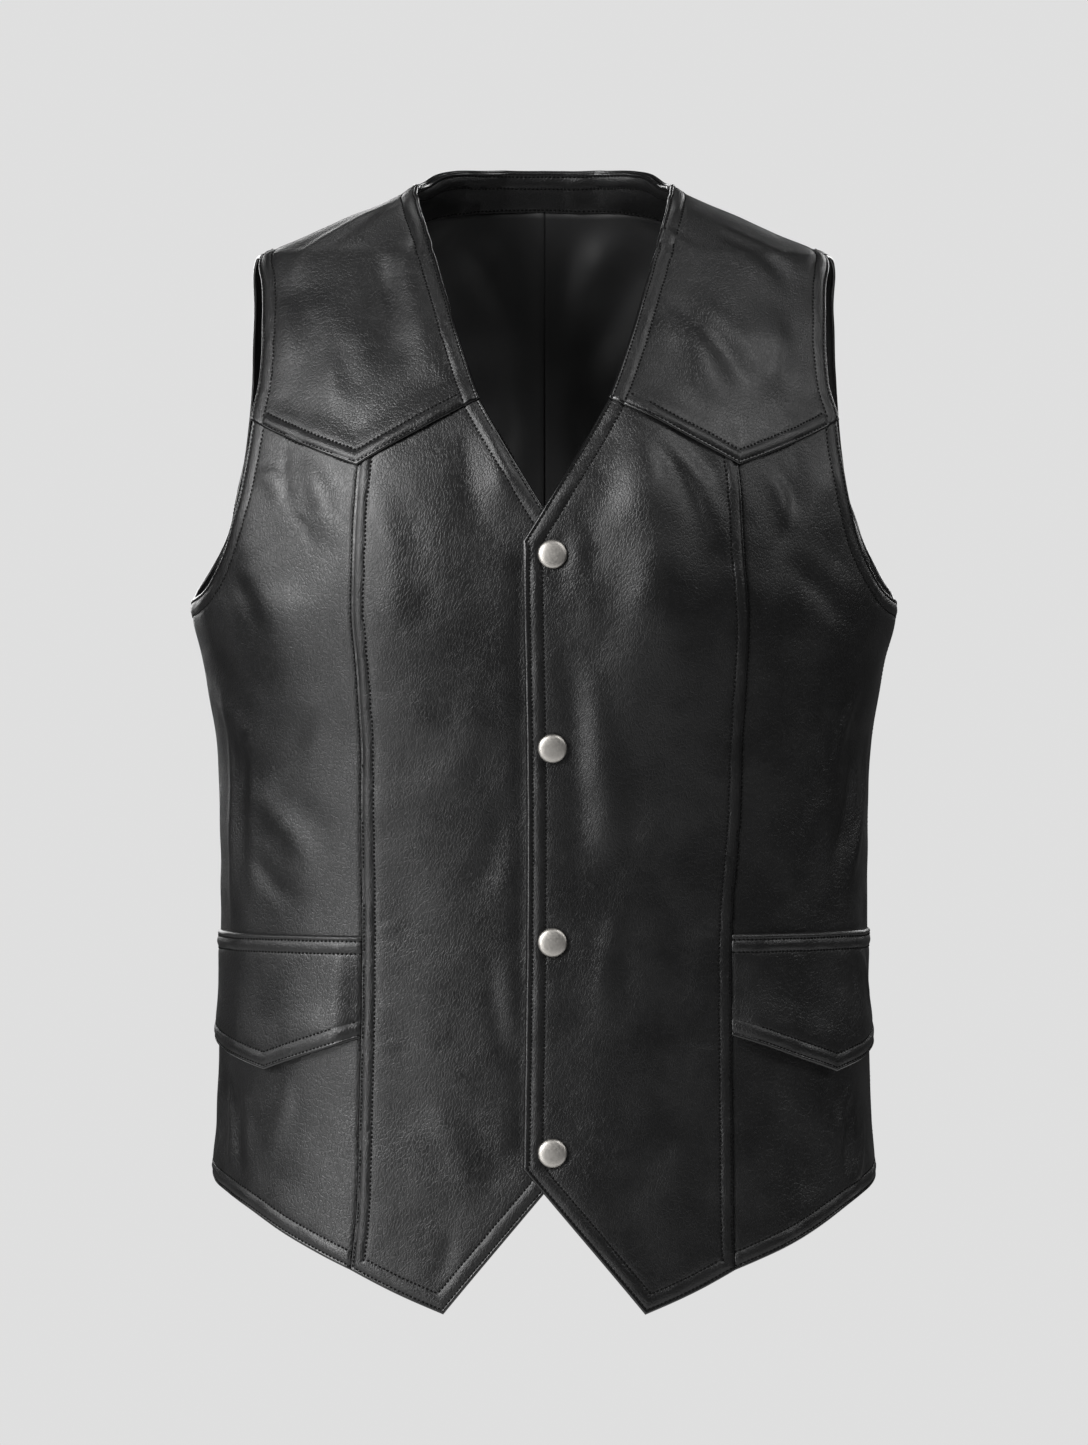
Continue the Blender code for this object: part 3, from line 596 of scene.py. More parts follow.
def match_steps(curve, count):
    """Read a curve at another number of even steps along its own list."""
    old = np.linspace(0.0, 1.0, len(curve))
    new = np.linspace(0.0, 1.0, count)
    return read_columns(new, old, curve)


def mean_radius(height, middle):
    depth = section_size("back_depth" if middle else "front_depth", height)
    return (section_size("half_width", height) + depth) / 2


def lay_out(places, middle):
    """Turn angles into distances around the body from a middle line."""
    around = (places[..., 0] - middle) * mean_radius(places[..., 1], middle)
    return np.stack([around, places[..., 1]], axis=-1)


def wrap_round(laid, middle):
    """Turn distances around the body back into angles."""
    angle = middle + laid[..., 0] / mean_radius(laid[..., 1], middle)
    return np.stack([angle, laid[..., 1]], axis=-1)


def span_patch(bottom, top, inner, outer, middle=0.0):
    """Fill the space between four edges; rows run from inner to outer, columns from bottom to top."""
    columns = max(len(bottom), len(top))
    rows = max(len(inner), len(outer))
    bottom = lay_out(match_steps(bottom, columns), middle)
    top = lay_out(match_steps(top, columns), middle)
    inner = lay_out(match_steps(inner, rows), middle)
    outer = lay_out(match_steps(outer, rows), middle)
    u = np.linspace(0.0, 1.0, columns)[None, :, None]
    v = np.linspace(0.0, 1.0, rows)[:, None, None]
    ruled = (1 - v) * bottom + v * top + (1 - u) * inner[:, None] + u * outer[:, None]
    corners = (1 - u) * ((1 - v) * bottom[0] + v * top[0]) + u * ((1 - v) * bottom[-1] + v * top[-1])
    return wrap_round(ruled - corners, middle)


def edge_slant(points, first, second):
    """Tell how squarely the lines of a grid meet its first edge, as the sine of the angle."""
    edge = np.gradient(points[:, first], axis=0)
    line = points[:, second] - points[:, first]
    sine = np.linalg.norm(np.cross(edge, line), axis=1)
    sine /= np.linalg.norm(edge, axis=1) * np.linalg.norm(line, axis=1) + NO_LENGTH
    return np.clip(sine, LEAST_SLANT, 1.0)


def set_stations(patch, spacing, start_lines, end_lines):
    """Read each row of a patch at its final columns: close together by the edges, then evenly.

    Gives the new grid and the numbers of the columns where one stretch ends and the next begins.
    """
    points = surface(patch)
    steps = np.linalg.norm(np.diff(points, axis=1), axis=2)
    lengths = np.concatenate([np.zeros((len(patch), 1)), np.cumsum(steps, axis=1)], axis=1)
    marks = lengths[:, ::FINE]
    stretches = marks.shape[1] - 1
    start = np.array(start_lines) / edge_slant(points, 0, 1)[:, None]
    end = np.array(end_lines) / edge_slant(points, -1, -2)[:, None]
    columns = []
    cuts = [0]
    for k in range(stretches):
        low = marks[:, k : k + 1]
        high = marks[:, k + 1 :][:, :1]
        most = (high - low) * LINES_SHARE
        lead = low + start * np.minimum(1.0, most / start[:, -1:]) if k == 0 else low
        tail = high
        if k == stretches - 1:
            tail = high - (end * np.minimum(1.0, most / end[:, -1:]))[:, ::-1]
        room = tail[:, :1] - lead[:, -1:]
        count = max(2, math.ceil(float(room.max()) / spacing))
        middle = lead[:, -1:] + room * np.linspace(0.0, 1.0, count + 1)[1:-1]
        columns += [lead if k == 0 else lead[:, :0], middle, tail]
        cuts.append(sum(part.shape[1] for part in columns) - 1)
    at = np.concatenate(columns, axis=1)
    return np.array([read_columns(*row) for row in zip(at, lengths, patch)]), cuts


def panel_grid(patch, spacing, lines):
    """Give a panel its final columns and rows. Lines holds the closer lines wanted at each edge."""
    grid, column_cuts = set_stations(patch, spacing, lines["inner"], lines["outer"])
    grid, row_cuts = set_stations(grid.transpose(1, 0, 2), spacing, lines["bottom"], lines["top"])
    return grid.transpose(1, 0, 2), column_cuts, row_cuts


def edge_lines(bands):
    """Choose the closer lines at each edge from the bands that lie there."""
    lines = dict.fromkeys(("bottom", "top", "inner", "outer"), PLAIN_LINES)
    for band in bands:
        if KINDS[band.kind].rolled:
            lines[band.edge] = ROLLED_LINES
    return lines


def grid_normals(points):
    """Give the outward direction at each point of a grid."""
    across = np.gradient(points, axis=1)
    up = np.gradient(points, axis=0)
    return unit(np.cross(across, up))


def edge_of(points, band, column_cuts, row_cuts):
    """Take the stretch of a grid's outline that a band follows, and the line of points beside it."""
    cuts = row_cuts if band.edge in ("inner", "outer") else column_cuts
    part = slice(cuts[band.first], cuts[band.last + 1] + 1)
    lines = {
        "bottom": (points[0], points[1]),
        "top": (points[-1], points[-2]),
        "inner": (points[:, 0], points[:, 1]),
        "outer": (points[:, -1], points[:, -2]),
    }
    edge, beside = lines[band.edge]
    return edge[part], beside[part]


def read_line(line, at):
    """Read the points of a line at the given distances along it."""
    return read_columns(at, run_lengths(line), line)


def fill_in(line):
    """Add points to a line until they lie close together, keeping the ones it has."""
    lengths = run_lengths(line)
    extra = np.arange(0.0, lengths[-1], LINE_STEP)
    at = np.unique(np.concatenate([lengths, extra]))
    return read_line(line, at), at


def line_tree(line):
    tree = KDTree(len(line))
    for i, point in enumerate(line):
        tree.insert(point, i)
    tree.balance()
    return tree


def gaps_to(tree, at, points):
    """Give each point's distance from a line, and the place along the line that it is nearest to."""
    found = [tree.find(point) for point in points.reshape(-1, 3)]
    gaps = np.array([hit[2] for hit in found]).reshape(points.shape[:-1])
    runs = at[[hit[1] for hit in found]].reshape(points.shape[:-1])
    return gaps, runs


def edge_trees(points, bands, column_cuts, row_cuts):
    """Give each band's edge as a search tree, with the distances along it."""
    trees = []
    for band in bands:
        line, at = fill_in(edge_of(points, band, column_cuts, row_cuts)[0])
        trees.append((line_tree(line), at))
    return trees


def owner_of(gaps, bands):
    """Tell which band each point belongs to: the nearest, or one that runs through the others."""
    ranked = []
    for gap, band in zip(gaps, bands):
        rows = KINDS[band.kind].rows
        if not rows:
            ranked.append(np.full(gap.shape, np.inf))
        elif band.through:
            ranked.append(np.where(gap < rows[-1] + GROOVE_WIDTH * 2, -1.0, gap))
        else:
            ranked.append(gap)
    return np.argmin(ranked, axis=0)


def uneven(runs, seed):
    """Give a smooth, uneven value between -1 and 1 along an edge."""
    chance = np.random.default_rng(seed)
    value = np.zeros_like(runs)
    for length in UNEVEN_LENGTHS:
        value += np.sin(runs * 2 * math.pi / length + chance.uniform(0.0, 2 * math.pi))
    return value / len(UNEVEN_LENGTHS)


def relief(gaps, runs, bands, wall, seed):
    """Give the rise of a panel's two sides above its form, from the distances to its edges."""
    shape = gaps[0].shape
    level = np.full(shape, wall)
    roll = np.ones(shape)
    press = np.zeros(shape)
    owner = owner_of(gaps, bands)
    for k, band in enumerate(bands):
        kind = KINDS[band.kind]
        gap = gaps[k]
        rough = uneven(runs[k], seed + k)
        mine = owner == k
        if kind.rolled:
            far = kind.rows[-1]
            swing = np.where(gap > far, 1 - PUFF_UNEVEN * (1 - rough), 1.0)
            puff = ease(1 - (gap - far) / PUFF_FADE) * swing
            level = np.maximum(level, wall + (TURNED_EDGE - wall) * puff)
            start = np.clip(gap / ROLL, 0.0, 1.0)
            roll = np.minimum(roll, ROLL_LEFT + (1 - ROLL_LEFT) * np.sqrt(1 - (1 - start) ** 2))
            between = np.clip((gap - kind.rows[0]) / (far - kind.rows[0]), 0.0, 1.0)
            press += mine * np.sin(math.pi * between) * (BAND_PUFF + BAND_UNEVEN * rough)
            lip = np.clip(gap / kind.rows[0], 0.0, 1.0)
            press += mine * np.sin(math.pi * lip) * BEAD
        elif band.kind != "faced":
            press -= SEAM_DIP * (wall / LEATHER) ** 2 * bell(gap / SEAM_DIP_WIDTH)
        for row in kind.rows:
            groove = GROOVE * bell((gap - row) / GROOVE_WIDTH)
            valley = VALLEY * bell((gap - row) / VALLEY_WIDTH)
            press -= mine * (groove + valley * (VALLEY_LEAST + VALLEY_UNEVEN * rough))
    middle = TURNED_EDGE / 2
    outer = np.where(roll < 1, middle + (level + press - middle) * roll, level + press)
    inner = np.where(roll < 1, middle * (1 - roll), 0.0)
    return outer, inner


def tuck_edges(points, bands, column_cuts, row_cuts):
    """Push the edges that are caught in a seam a little way under their neighbours."""
    tucked = points.copy()
    for band in bands:
        if KINDS[band.kind].rolled:
            continue
        edge, beside = edge_of(points, band, column_cuts, row_cuts)
        moved, _ = edge_of(tucked, band, column_cuts, row_cuts)
        reach = TUCK_UNDER if band.kind == "tucked" else TUCK
        moved += unit(edge - beside) * reach
    return tucked


def shell_faces(rows, columns, left_out):
    """List the faces of a two-sided grid: outside, inside and rim."""
    numbers = np.arange(rows * columns).reshape(rows, columns)
    corners = (numbers[:-1, :-1], numbers[:-1, 1:], numbers[1:, 1:], numbers[1:, :-1])
    outside = np.stack(corners, axis=-1)
    outside = outside[~left_out] if left_out is not None else outside.reshape(-1, 4)
    count = rows * columns
    starts = outside.reshape(-1)
    ends = np.roll(outside, -1, axis=1).reshape(-1)
    free = ~np.isin(starts * count + ends, ends * count + starts)
    starts = starts[free]
    ends = ends[free]
    rim = np.stack([ends, starts, starts + count, ends + count], axis=-1)
    return outside, outside[:, ::-1] + count, rim


def make_mesh(name, points, faces, materials, numbers=None):
    """Make a smooth mesh object and hang it on the vest's body."""
    mesh = bpy.data.meshes.new(name)
    mesh.from_pydata(points.tolist(), [], faces.tolist())
    for material in materials:
        mesh.materials.append(material)
    if numbers is not None:
        mesh.polygons.foreach_set("material_index", numbers)
    mesh.shade_smooth()
    thing = bpy.data.objects.new(name, mesh)
    bpy.context.scene.collection.objects.link(thing)
    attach(thing, "root")
    return thing


def stitch_rows(points, normals, bands, column_cuts, row_cuts):
    """Find the middle, direction and normal of every stitch on a panel."""
    trees = edge_trees(points, bands, column_cuts, row_cuts)
    found = []
    for k, band in enumerate(bands):
        edge, beside = edge_of(points, band, column_cuts, row_cuts)
        facing, _ = edge_of(normals, band, column_cuts, row_cuts)
        lengths = run_lengths(edge)
        at = np.arange(LINE_STEP, lengths[-1], LINE_STEP)
        line = read_line(edge, at)
        along = unit(np.gradient(line, axis=0))
        upright = read_columns(at, lengths, facing)
        inwards = read_columns(at, lengths, beside - edge)
        square = np.cross(upright, along)
        square *= np.sign((square * inwards).sum(axis=1, keepdims=True))
        for row in KINDS[band.kind].rows:
            places = line + square * row
            gaps = [gaps_to(*tree, places)[0] for tree in trees]
            mine = owner_of(gaps, bands) == k
            mine &= gaps[k] > row * STITCH_ROW_LEEWAY
            kept = np.flatnonzero(mine)
            if len(kept) < SHORTEST_ROW:
                continue
            for part in np.split(kept, np.flatnonzero(np.diff(kept) > 1) + 1):
                run = run_lengths(places[part])
                stops = np.arange(STITCH_PITCH / 2, run[-1], STITCH_PITCH)
                if len(stops) == 0:
                    continue
                middle = read_line(places[part], stops)
                nearest = part[np.clip(np.searchsorted(run, stops), 0, len(part) - 1)]
                found.append(np.concatenate([middle, along[nearest], upright[nearest]], axis=1))
    return np.concatenate(found) if found else np.zeros((0, 9))


def stitch_shape():
    """Give one stitch as a closed spindle of unit half length and unit half width, with its faces."""
    turns = np.arange(STITCH_SIDES) * 2 * math.pi / STITCH_SIDES
    rings = [
        np.stack([np.full(STITCH_SIDES, along), wide * np.cos(turns), wide * np.sin(turns)], axis=-1)
        for along, wide in STITCH_RINGS
    ]
    points = np.concatenate([[[-1.0, 0.0, 0.0]], *rings, [[1.0, 0.0, 0.0]]])
    last = len(points) - 1
    faces = []
    for i in range(STITCH_SIDES):
        j = (i + 1) % STITCH_SIDES
        faces.append((0, 1 + j, 1 + i))
        for ring in range(len(STITCH_RINGS) - 1):
            low = 1 + ring * STITCH_SIDES
            faces.append((low + i, low + j, low + STITCH_SIDES + j))
            faces.append((low + i, low + STITCH_SIDES + j, low + STITCH_SIDES + i))
        low = last - STITCH_SIDES
        faces.append((low + i, low + j, last))
    return points, np.array(faces)


def add_stitches(name, rows, ground, sign, material):
    """Lay the stitches in their grooves and join them into one piece."""
    chance = np.random.default_rng(STITCH_SEED)
    shape, faces = stitch_shape()
    seats = np.array([ground.find_nearest(Vector(spot))[0] for spot in rows[:, :3]])
    along = rows[:, 3:6]
    upright = rows[:, 6:9]
    beside = np.cross(upright, along)
    turn = chance.normal(0.0, STITCH_TURN, len(rows))[:, None]
    way = along * np.cos(turn) + beside * np.sin(turn)
    across = beside * np.cos(turn) - along * np.sin(turn)
    half = STITCH_LENGTH / 2 * chance.uniform(*STITCH_LENGTH_SHARES, len(rows))[:, None, None]
    points = (seats + upright * STITCH_RISE)[:, None]
    points = points + shape[None, :, :1] * half * way[:, None]
    points = points + shape[None, :, 1:2] * STITCH_WIDTH / 2 * across[:, None]
    points = points + shape[None, :, 2:] * STITCH_THICKNESS / 2 * upright[:, None]
    all_faces = (faces[None] + (np.arange(len(rows)) * len(shape))[:, None, None]).reshape(-1, 3)
    if sign < 0:
        all_faces = all_faces[:, ::-1]
    thing = make_mesh(name, points.reshape(-1, 3) * (sign, 1, 1), all_faces, [material])
    return thing


def add_panel(node, patch, bands, spacing, rests_on, sign=1, wall=LEATHER, lift=None, **more):
    """Make one sewn piece: its shell with rolled edges and creases, and its stitches.

    A piece that shows its inside has its columns turned round, so that its outer side looks inwards.
    Unless told otherwise, a piece is leather with the lining's look on its inner side.
    """
    looks = more.get("looks", (LEATHER_LOOK, LINING_LOOK))
    lines = more.get("lines") or edge_lines(bands)
    grid, column_cuts, row_cuts = panel_grid(patch, spacing, lines)
    shut_out = more["left_out"](column_cuts, row_cuts, grid.shape) if "left_out" in more else None
    if "mirrored" in more:
        other = grid[:, -2::-1] * (-1, 1) + (2 * math.pi, 0)
        last = 2 * (grid.shape[1] - 1)
        column_cuts = column_cuts[:-1] + [last - cut for cut in column_cuts[::-1]]
        grid = np.concatenate([grid, other], axis=1)
    inside = more.get("inside", False)
    if inside:
        grid = grid[:, ::-1]
        column_cuts = [grid.shape[1] - 1 - cut for cut in column_cuts[::-1]]
        shut_out = shut_out[:, ::-1] if shut_out is not None else None
    plain = surface(grid * (sign, 1)) * (sign, 1, 1)
    normals = grid_normals(plain)
    crease = crease_push(grid[..., 0] * sign, grid[..., 1])
    crease += RIPPLE_RISE * waves(plain * (sign, 1, 1), RIPPLE_LENGTHS, RIPPLE_SEED)
    points = plain + normals * (crease * (-1 if inside else 1))[..., None]
    points = tuck_edges(points, bands, column_cuts, row_cuts)
    trees = edge_trees(points, bands, column_cuts, row_cuts)
    gaps, runs = zip(*[gaps_to(*tree, points) for tree in trees])
    if lift is not None:
        points = points + normals * lift(points, gaps)[..., None]
    outer, inner = relief(gaps, runs, bands, wall, len(node))
    top = points + normals * outer[..., None]
    low = points + normals * inner[..., None]
    rows, columns = grid.shape[:2]
    outside, underside, rim = shell_faces(rows, columns, shut_out)
    rolled = [gap for gap, band in zip(gaps, bands) if KINDS[band.kind].rolled]
    turned_under = np.zeros(rows * columns, bool)
    if rolled:
        turned_under = np.min(rolled, axis=0).reshape(-1) < TURN_UNDER
    numbers = np.zeros(len(outside) * 2 + len(rim), int)
    numbers[len(outside) : len(outside) * 2] = np.where(turned_under[outside[:, 0]], 0, len(looks) - 1)
    faces = np.concatenate([outside, underside, rim])
    used, faces = np.unique(faces, return_inverse=True)
    faces = faces.reshape(-1, 4)
    corners = np.concatenate([top.reshape(-1, 3), low.reshape(-1, 3)])[used] * (sign, 1, 1)
    name = f"{node}_cloth"
    cloth = make_mesh(name, corners, faces if sign > 0 else faces[:, ::-1], looks, numbers)
    if rolled:
        rubbed = [gap for gap, band in zip(gaps, bands) if band.kind in RUBBED]
        worn = ease(1 - np.min(rubbed, axis=0).reshape(-1) / EDGE_GLOSS_WIDTH)
        near_edge = cloth.data.attributes.new("near_edge", "FLOAT", "POINT")
        near_edge.data.foreach_set("value", np.tile(worn, 2)[used])
    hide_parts(node)
    stitches = []
    rows_found = stitch_rows(points, normals, bands, column_cuts, row_cuts)
    if len(rows_found):
        ground = BVHTree.FromPolygons(top.reshape(-1, 3).tolist(), outside.tolist())
        stitches = [add_stitches(f"{node}_stitches", rows_found, ground, sign, THREAD)]
    return cloth


def lap_lift(points):
    """Tell how far the overlapping front stands off, so that it clears the front under it."""
    across = ease((LAP_GONE - points[..., 0]) / (LAP_GONE - LAP_FULL))
    down = ease((LAP_TOP - points[..., 2]) / (LAP_TOP - LAP_TOP_FULL))
    return LAP_LIFT * across * down


def lapped_front_lift(points, gaps):
    """The lap's lift, less the dents that the snap caps press into the leather."""
    dents = np.zeros(points.shape[:-1])
    for height in SNAP_HEIGHTS:
        reach = np.hypot(points[..., 0] - SNAP_OFFSET, points[..., 2] - height)
        dents += bell(np.clip(reach - SNAP_RADIUS, 0.0, None) / SNAP_PRESS_WIDTH)
    return lap_lift(points) - SNAP_PRESS * dents


def underlap_lift(points, gaps):
    """The front under the lap sinks along the closing edge that lies on it."""
    heights = points[..., 2]
    above_hem = ease((heights - CUTAWAY_HEIGHT) / UNDERLAP_FADE)
    below_corner = ease((V_CORNER_HEIGHT - heights) / UNDERLAP_FADE)
    beside = (points[..., 0] - LAP_REACH) / UNDERLAP_DENT_WIDTH
    return -UNDERLAP_DENT * bell(beside) * above_hem * below_corner


def yoke_lift(points, gaps):
    """The yoke's lower edge stands a little off the panels under it."""
    return YOKE_STAND * ease(1 - gaps[0] / YOKE_STAND_FADE)


def flap_lift(points, gaps):
    """A flap stands off towards its lower edge and is drawn in at its two ends."""
    top, inner, outer = gaps[1:]
    off = LEATHER + SEAM_GAP + FLAP_STAND_OFF * ease(top / FLAP_FALL)
    free = ease(inner / FLAP_INNER_END) * ease(outer / FLAP_OUTER_END)
    return FLAP_HELD + (off - FLAP_HELD) * free


def lining_lift(points, gaps):
    """The lining hangs in soft folds between its seams."""
    below_facing = ease((FACING_HEIGHT - points[..., 2]) / LINING_FADE)
    loose = ease(np.min(gaps, axis=0) / LINING_FADE) * below_facing
    fold = LINING_FULL + LINING_WAVE * waves(points, LINING_WAVE_LENGTHS, LINING_WAVE_SEED)
    return LINING_GAP + loose * np.clip(fold, 0.0, None)


def lapped_lining_lift(points, gaps):
    """One half of the lining lies on the other along the centre seam."""
    return lining_lift(points, gaps) + LINING_LAP * bell(gaps[1] / LINING_LAP_WIDTH)


def facing_lift(points, gaps):
    """The facing lies flat on the back."""
    return np.full(points.shape[:-1], LINING_GAP)


def neck_point():
    return (SHOULDER_SEAM_ANGLE, 0.0)


def shoulder_tip():
    return (SHOULDER_SEAM_ANGLE, SHOULDER_TIP_HEIGHT)


def underarm():
    return (math.pi / 2, UNDERARM_HEIGHT)


def corner(line, side):
    return place_at(getattr(line, side), line.height)


def princess_seam(side):
    return curve_through(front_places((PRINCESS_HEM_END, *PRINCESS_SEAM, YOKE_POINT), side))


def yoke_edges(side):
    """Give the yoke's lower edge from the neck to its point, and from there to the armhole."""
    pairs = ((NECK_CORNER, YOKE_POINT), (YOKE_POINT, YOKE_ARMHOLE_END))
    return [curve_through(front_places(pair, side)) for pair in pairs]


def yoke_patch(side):
    neck = curve_through([*front_places((NECK_CORNER, *NECK_EDGE[::-1]), side), neck_point()])
    armhole_places = reach_places(FRONT_ARMHOLE_HIGH)
    armhole = curve_through([corner(YOKE_ARMHOLE_END, side), *armhole_places, shoulder_tip()])
    shoulder = curve_through([neck_point(), shoulder_tip()])
    lower_edge = chain(*yoke_edges(side))
    return span_patch(lower_edge, read_evenly(shoulder, len(lower_edge)), chain(neck), chain(armhole))


def centre_front_patch(side):
    hem = curve_through(front_places((HEM_POINT, HEM_MIDDLE, PRINCESS_HEM_END), side))
    top = yoke_edges(side)[0]
    cutaway = curve_through([corner(HEM_POINT, side), place_at(-LAP_REACH, CUTAWAY_HEIGHT)])
    middle_height = (CUTAWAY_HEIGHT + V_CORNER_HEIGHT) / 2
    closing = curve_through(
        [
            place_at(-LAP_REACH, CUTAWAY_HEIGHT),
            place_at(CLOSING_EDGE_BOW - LAP_REACH, middle_height),
            place_at(-LAP_REACH, V_CORNER_HEIGHT),
        ]
    )
    neck = curve_through([place_at(-LAP_REACH, V_CORNER_HEIGHT), corner(NECK_CORNER, side)])
    seam = split_seam(princess_seam(side), SEAM_ROW_HEIGHTS)
    return span_patch(chain(hem), chain(top), chain(cutaway, closing, neck), seam)


def side_front_patch(side):
    side_corner = (math.pi / 2, SIDE_CORNER_HEIGHT)
    hem_places = front_places((PRINCESS_HEM_END, *SIDE_HEM_CURVE), side)
    hem = curve_through([*hem_places, side_corner])
    yoke_edge = yoke_edges(side)[1]
    side_seam = curve_through([side_corner, underarm()])
    armhole_places = reach_places(FRONT_ARMHOLE_LOW[::-1])
    armhole = curve_through([corner(YOKE_ARMHOLE_END, side), *armhole_places, underarm()])
    share = FLAPS[side].point_share
    return span_patch(
        chain(*cut_curve(hem, share)),
        chain(*cut_curve(armhole, share)),
        np.concatenate([split_seam(princess_seam(side), SEAM_ROW_HEIGHTS), chain(yoke_edge)[1:]]),
        split_seam(side_seam, SIDE_ROW_HEIGHTS),
    )


def flap_patch(side):
    """Fill a pocket flap between the lapped seam and the side seam."""
    flap = FLAPS[side]
    seam = princess_seam(side)

    def seam_angle(height):
        return np.interp(height, seam[:, 1], seam[:, 0])

    level = np.full(FINE * 4, flap.top)
    angles = np.linspace(seam_angle(flap.top), math.pi / 2, FINE * 4)
    lengths = run_lengths(surface(np.stack([angles, level], axis=-1)))
    arc_shares = lengths / lengths[-1]
    angle_shares = np.linspace(0.0, 1.0, FINE * 4)

    def across(shares, heights):
        turned = np.interp(shares, arc_shares, angle_shares)
        start = seam_angle(heights)
        return np.stack([start + (math.pi / 2 - start) * turned, heights], axis=-1)

    to_point = np.linspace(0.0, flap.point_share, FINE * 2)
    from_point = np.linspace(flap.point_share, 1.0, FINE * 2)
    ends = (0.0, flap.point_share, 1.0)
    drops = (flap.inner_end, flap.point, flap.outer_end)
    lower = [across(part, np.interp(part, ends, drops)) for part in (to_point, from_point)]
    upper = [across(part, np.full_like(part, flap.top)) for part in (to_point, from_point)]
    up_seam = np.linspace(flap.inner_end, flap.top, FINE * 2)
    inner = np.stack([seam_angle(up_seam), up_seam], axis=-1)
    outer = curve_through([(math.pi / 2, flap.outer_end), (math.pi / 2, flap.top)])
    return span_patch(chain(*lower), chain(*upper), chain(inner), chain(outer))


def half_back_patch():
    """Work out the left half of the back, from the side and armhole to the centre back."""
    side_corner = (math.pi / 2, SIDE_CORNER_HEIGHT)
    hem_height = SIDE_CORNER_HEIGHT - BACK_HEM_DROP
    hem = curve_through([side_corner, (BACK_HEM_TURN, hem_height), (math.pi, hem_height)])
    side_seam = curve_through([side_corner, underarm()])
    armhole_places = reach_places(BACK_ARMHOLE, behind=True)
    ridge = (math.pi / 2, SHOULDER_TIP_HEIGHT - SHOULDER_TIP_ROUND)
    armhole = curve_through([underarm(), *armhole_places, ridge, shoulder_tip()])
    shoulder = curve_through([shoulder_tip(), neck_point()])
    neck_places = reach_places(BACK_NECK, behind=True)
    neck = curve_through([neck_point(), *neck_places, (math.pi, BACK_NECK_HEIGHT)])
    centre = curve_through([(math.pi, hem_height), (math.pi, BACK_NECK_HEIGHT)])
    return span_patch(
        chain(*cut_curve(hem, SHOULDER_SHARE)),
        chain(shoulder, neck),
        chain(side_seam, *cut_curve(armhole, FACING_ROW_SHARE)),
        split_seam(centre, (UNDERARM_ROW_AT_CENTRE, FACING_HEIGHT)),
        math.pi,
    )


def add_fronts(side):
    """Make the yoke, centre front, side front and pocket flap of one side."""
    sign = SIDES[side]
    yoke = f"yoke_front_{side}"
    centre = f"front_centre_{side}"
    side_front = f"front_side_{side}"
    bands = (
        Band("bottom", 0, 1, "lapped"),
        Band("inner", 0, 0, "turned", True),
        Band("outer", 0, 0, "turned", True),
        Band("top", 0, 1, "caught"),
    )
    add_panel(yoke, yoke_patch(side), bands, FRONT_SPACING, ["back"], sign, lift=yoke_lift)
    bands = (
        Band("inner", 0, 0, "turned"),
        Band("inner", 1, 1, "placket"),
        Band("inner", 2, 2, "turned"),
        Band("bottom", 0, 0, "turned"),
        Band("outer", 0, 2, "lapped"),
        Band("top", 0, 0, "tucked"),
    )
    lift = lapped_front_lift if side == "left" else underlap_lift
    add_panel(centre, centre_front_patch(side), bands, FRONT_SPACING, [yoke], sign, lift=lift)
    bands = (
        Band("bottom", 0, 1, "turned"),
        Band("top", 0, 1, "turned"),
        Band("inner", 0, 2, "caught"),
        Band("inner", 3, 3, "tucked"),
        Band("outer", 0, 3, "topstitched"),
    )
    add_panel(side_front, side_front_patch(side), bands, FRONT_SPACING, [yoke], sign)
    bands = (
        Band("bottom", 0, 1, "turned"),
        Band("top", 0, 1, "flap_top"),
        Band("inner", 0, 0, "caught"),
        Band("outer", 0, 0, "caught"),
    )
    flap = f"pocket_flap_{side}"
    add_panel(flap, flap_patch(side), bands, FLAP_SPACING, [side_front], sign, lift=flap_lift)


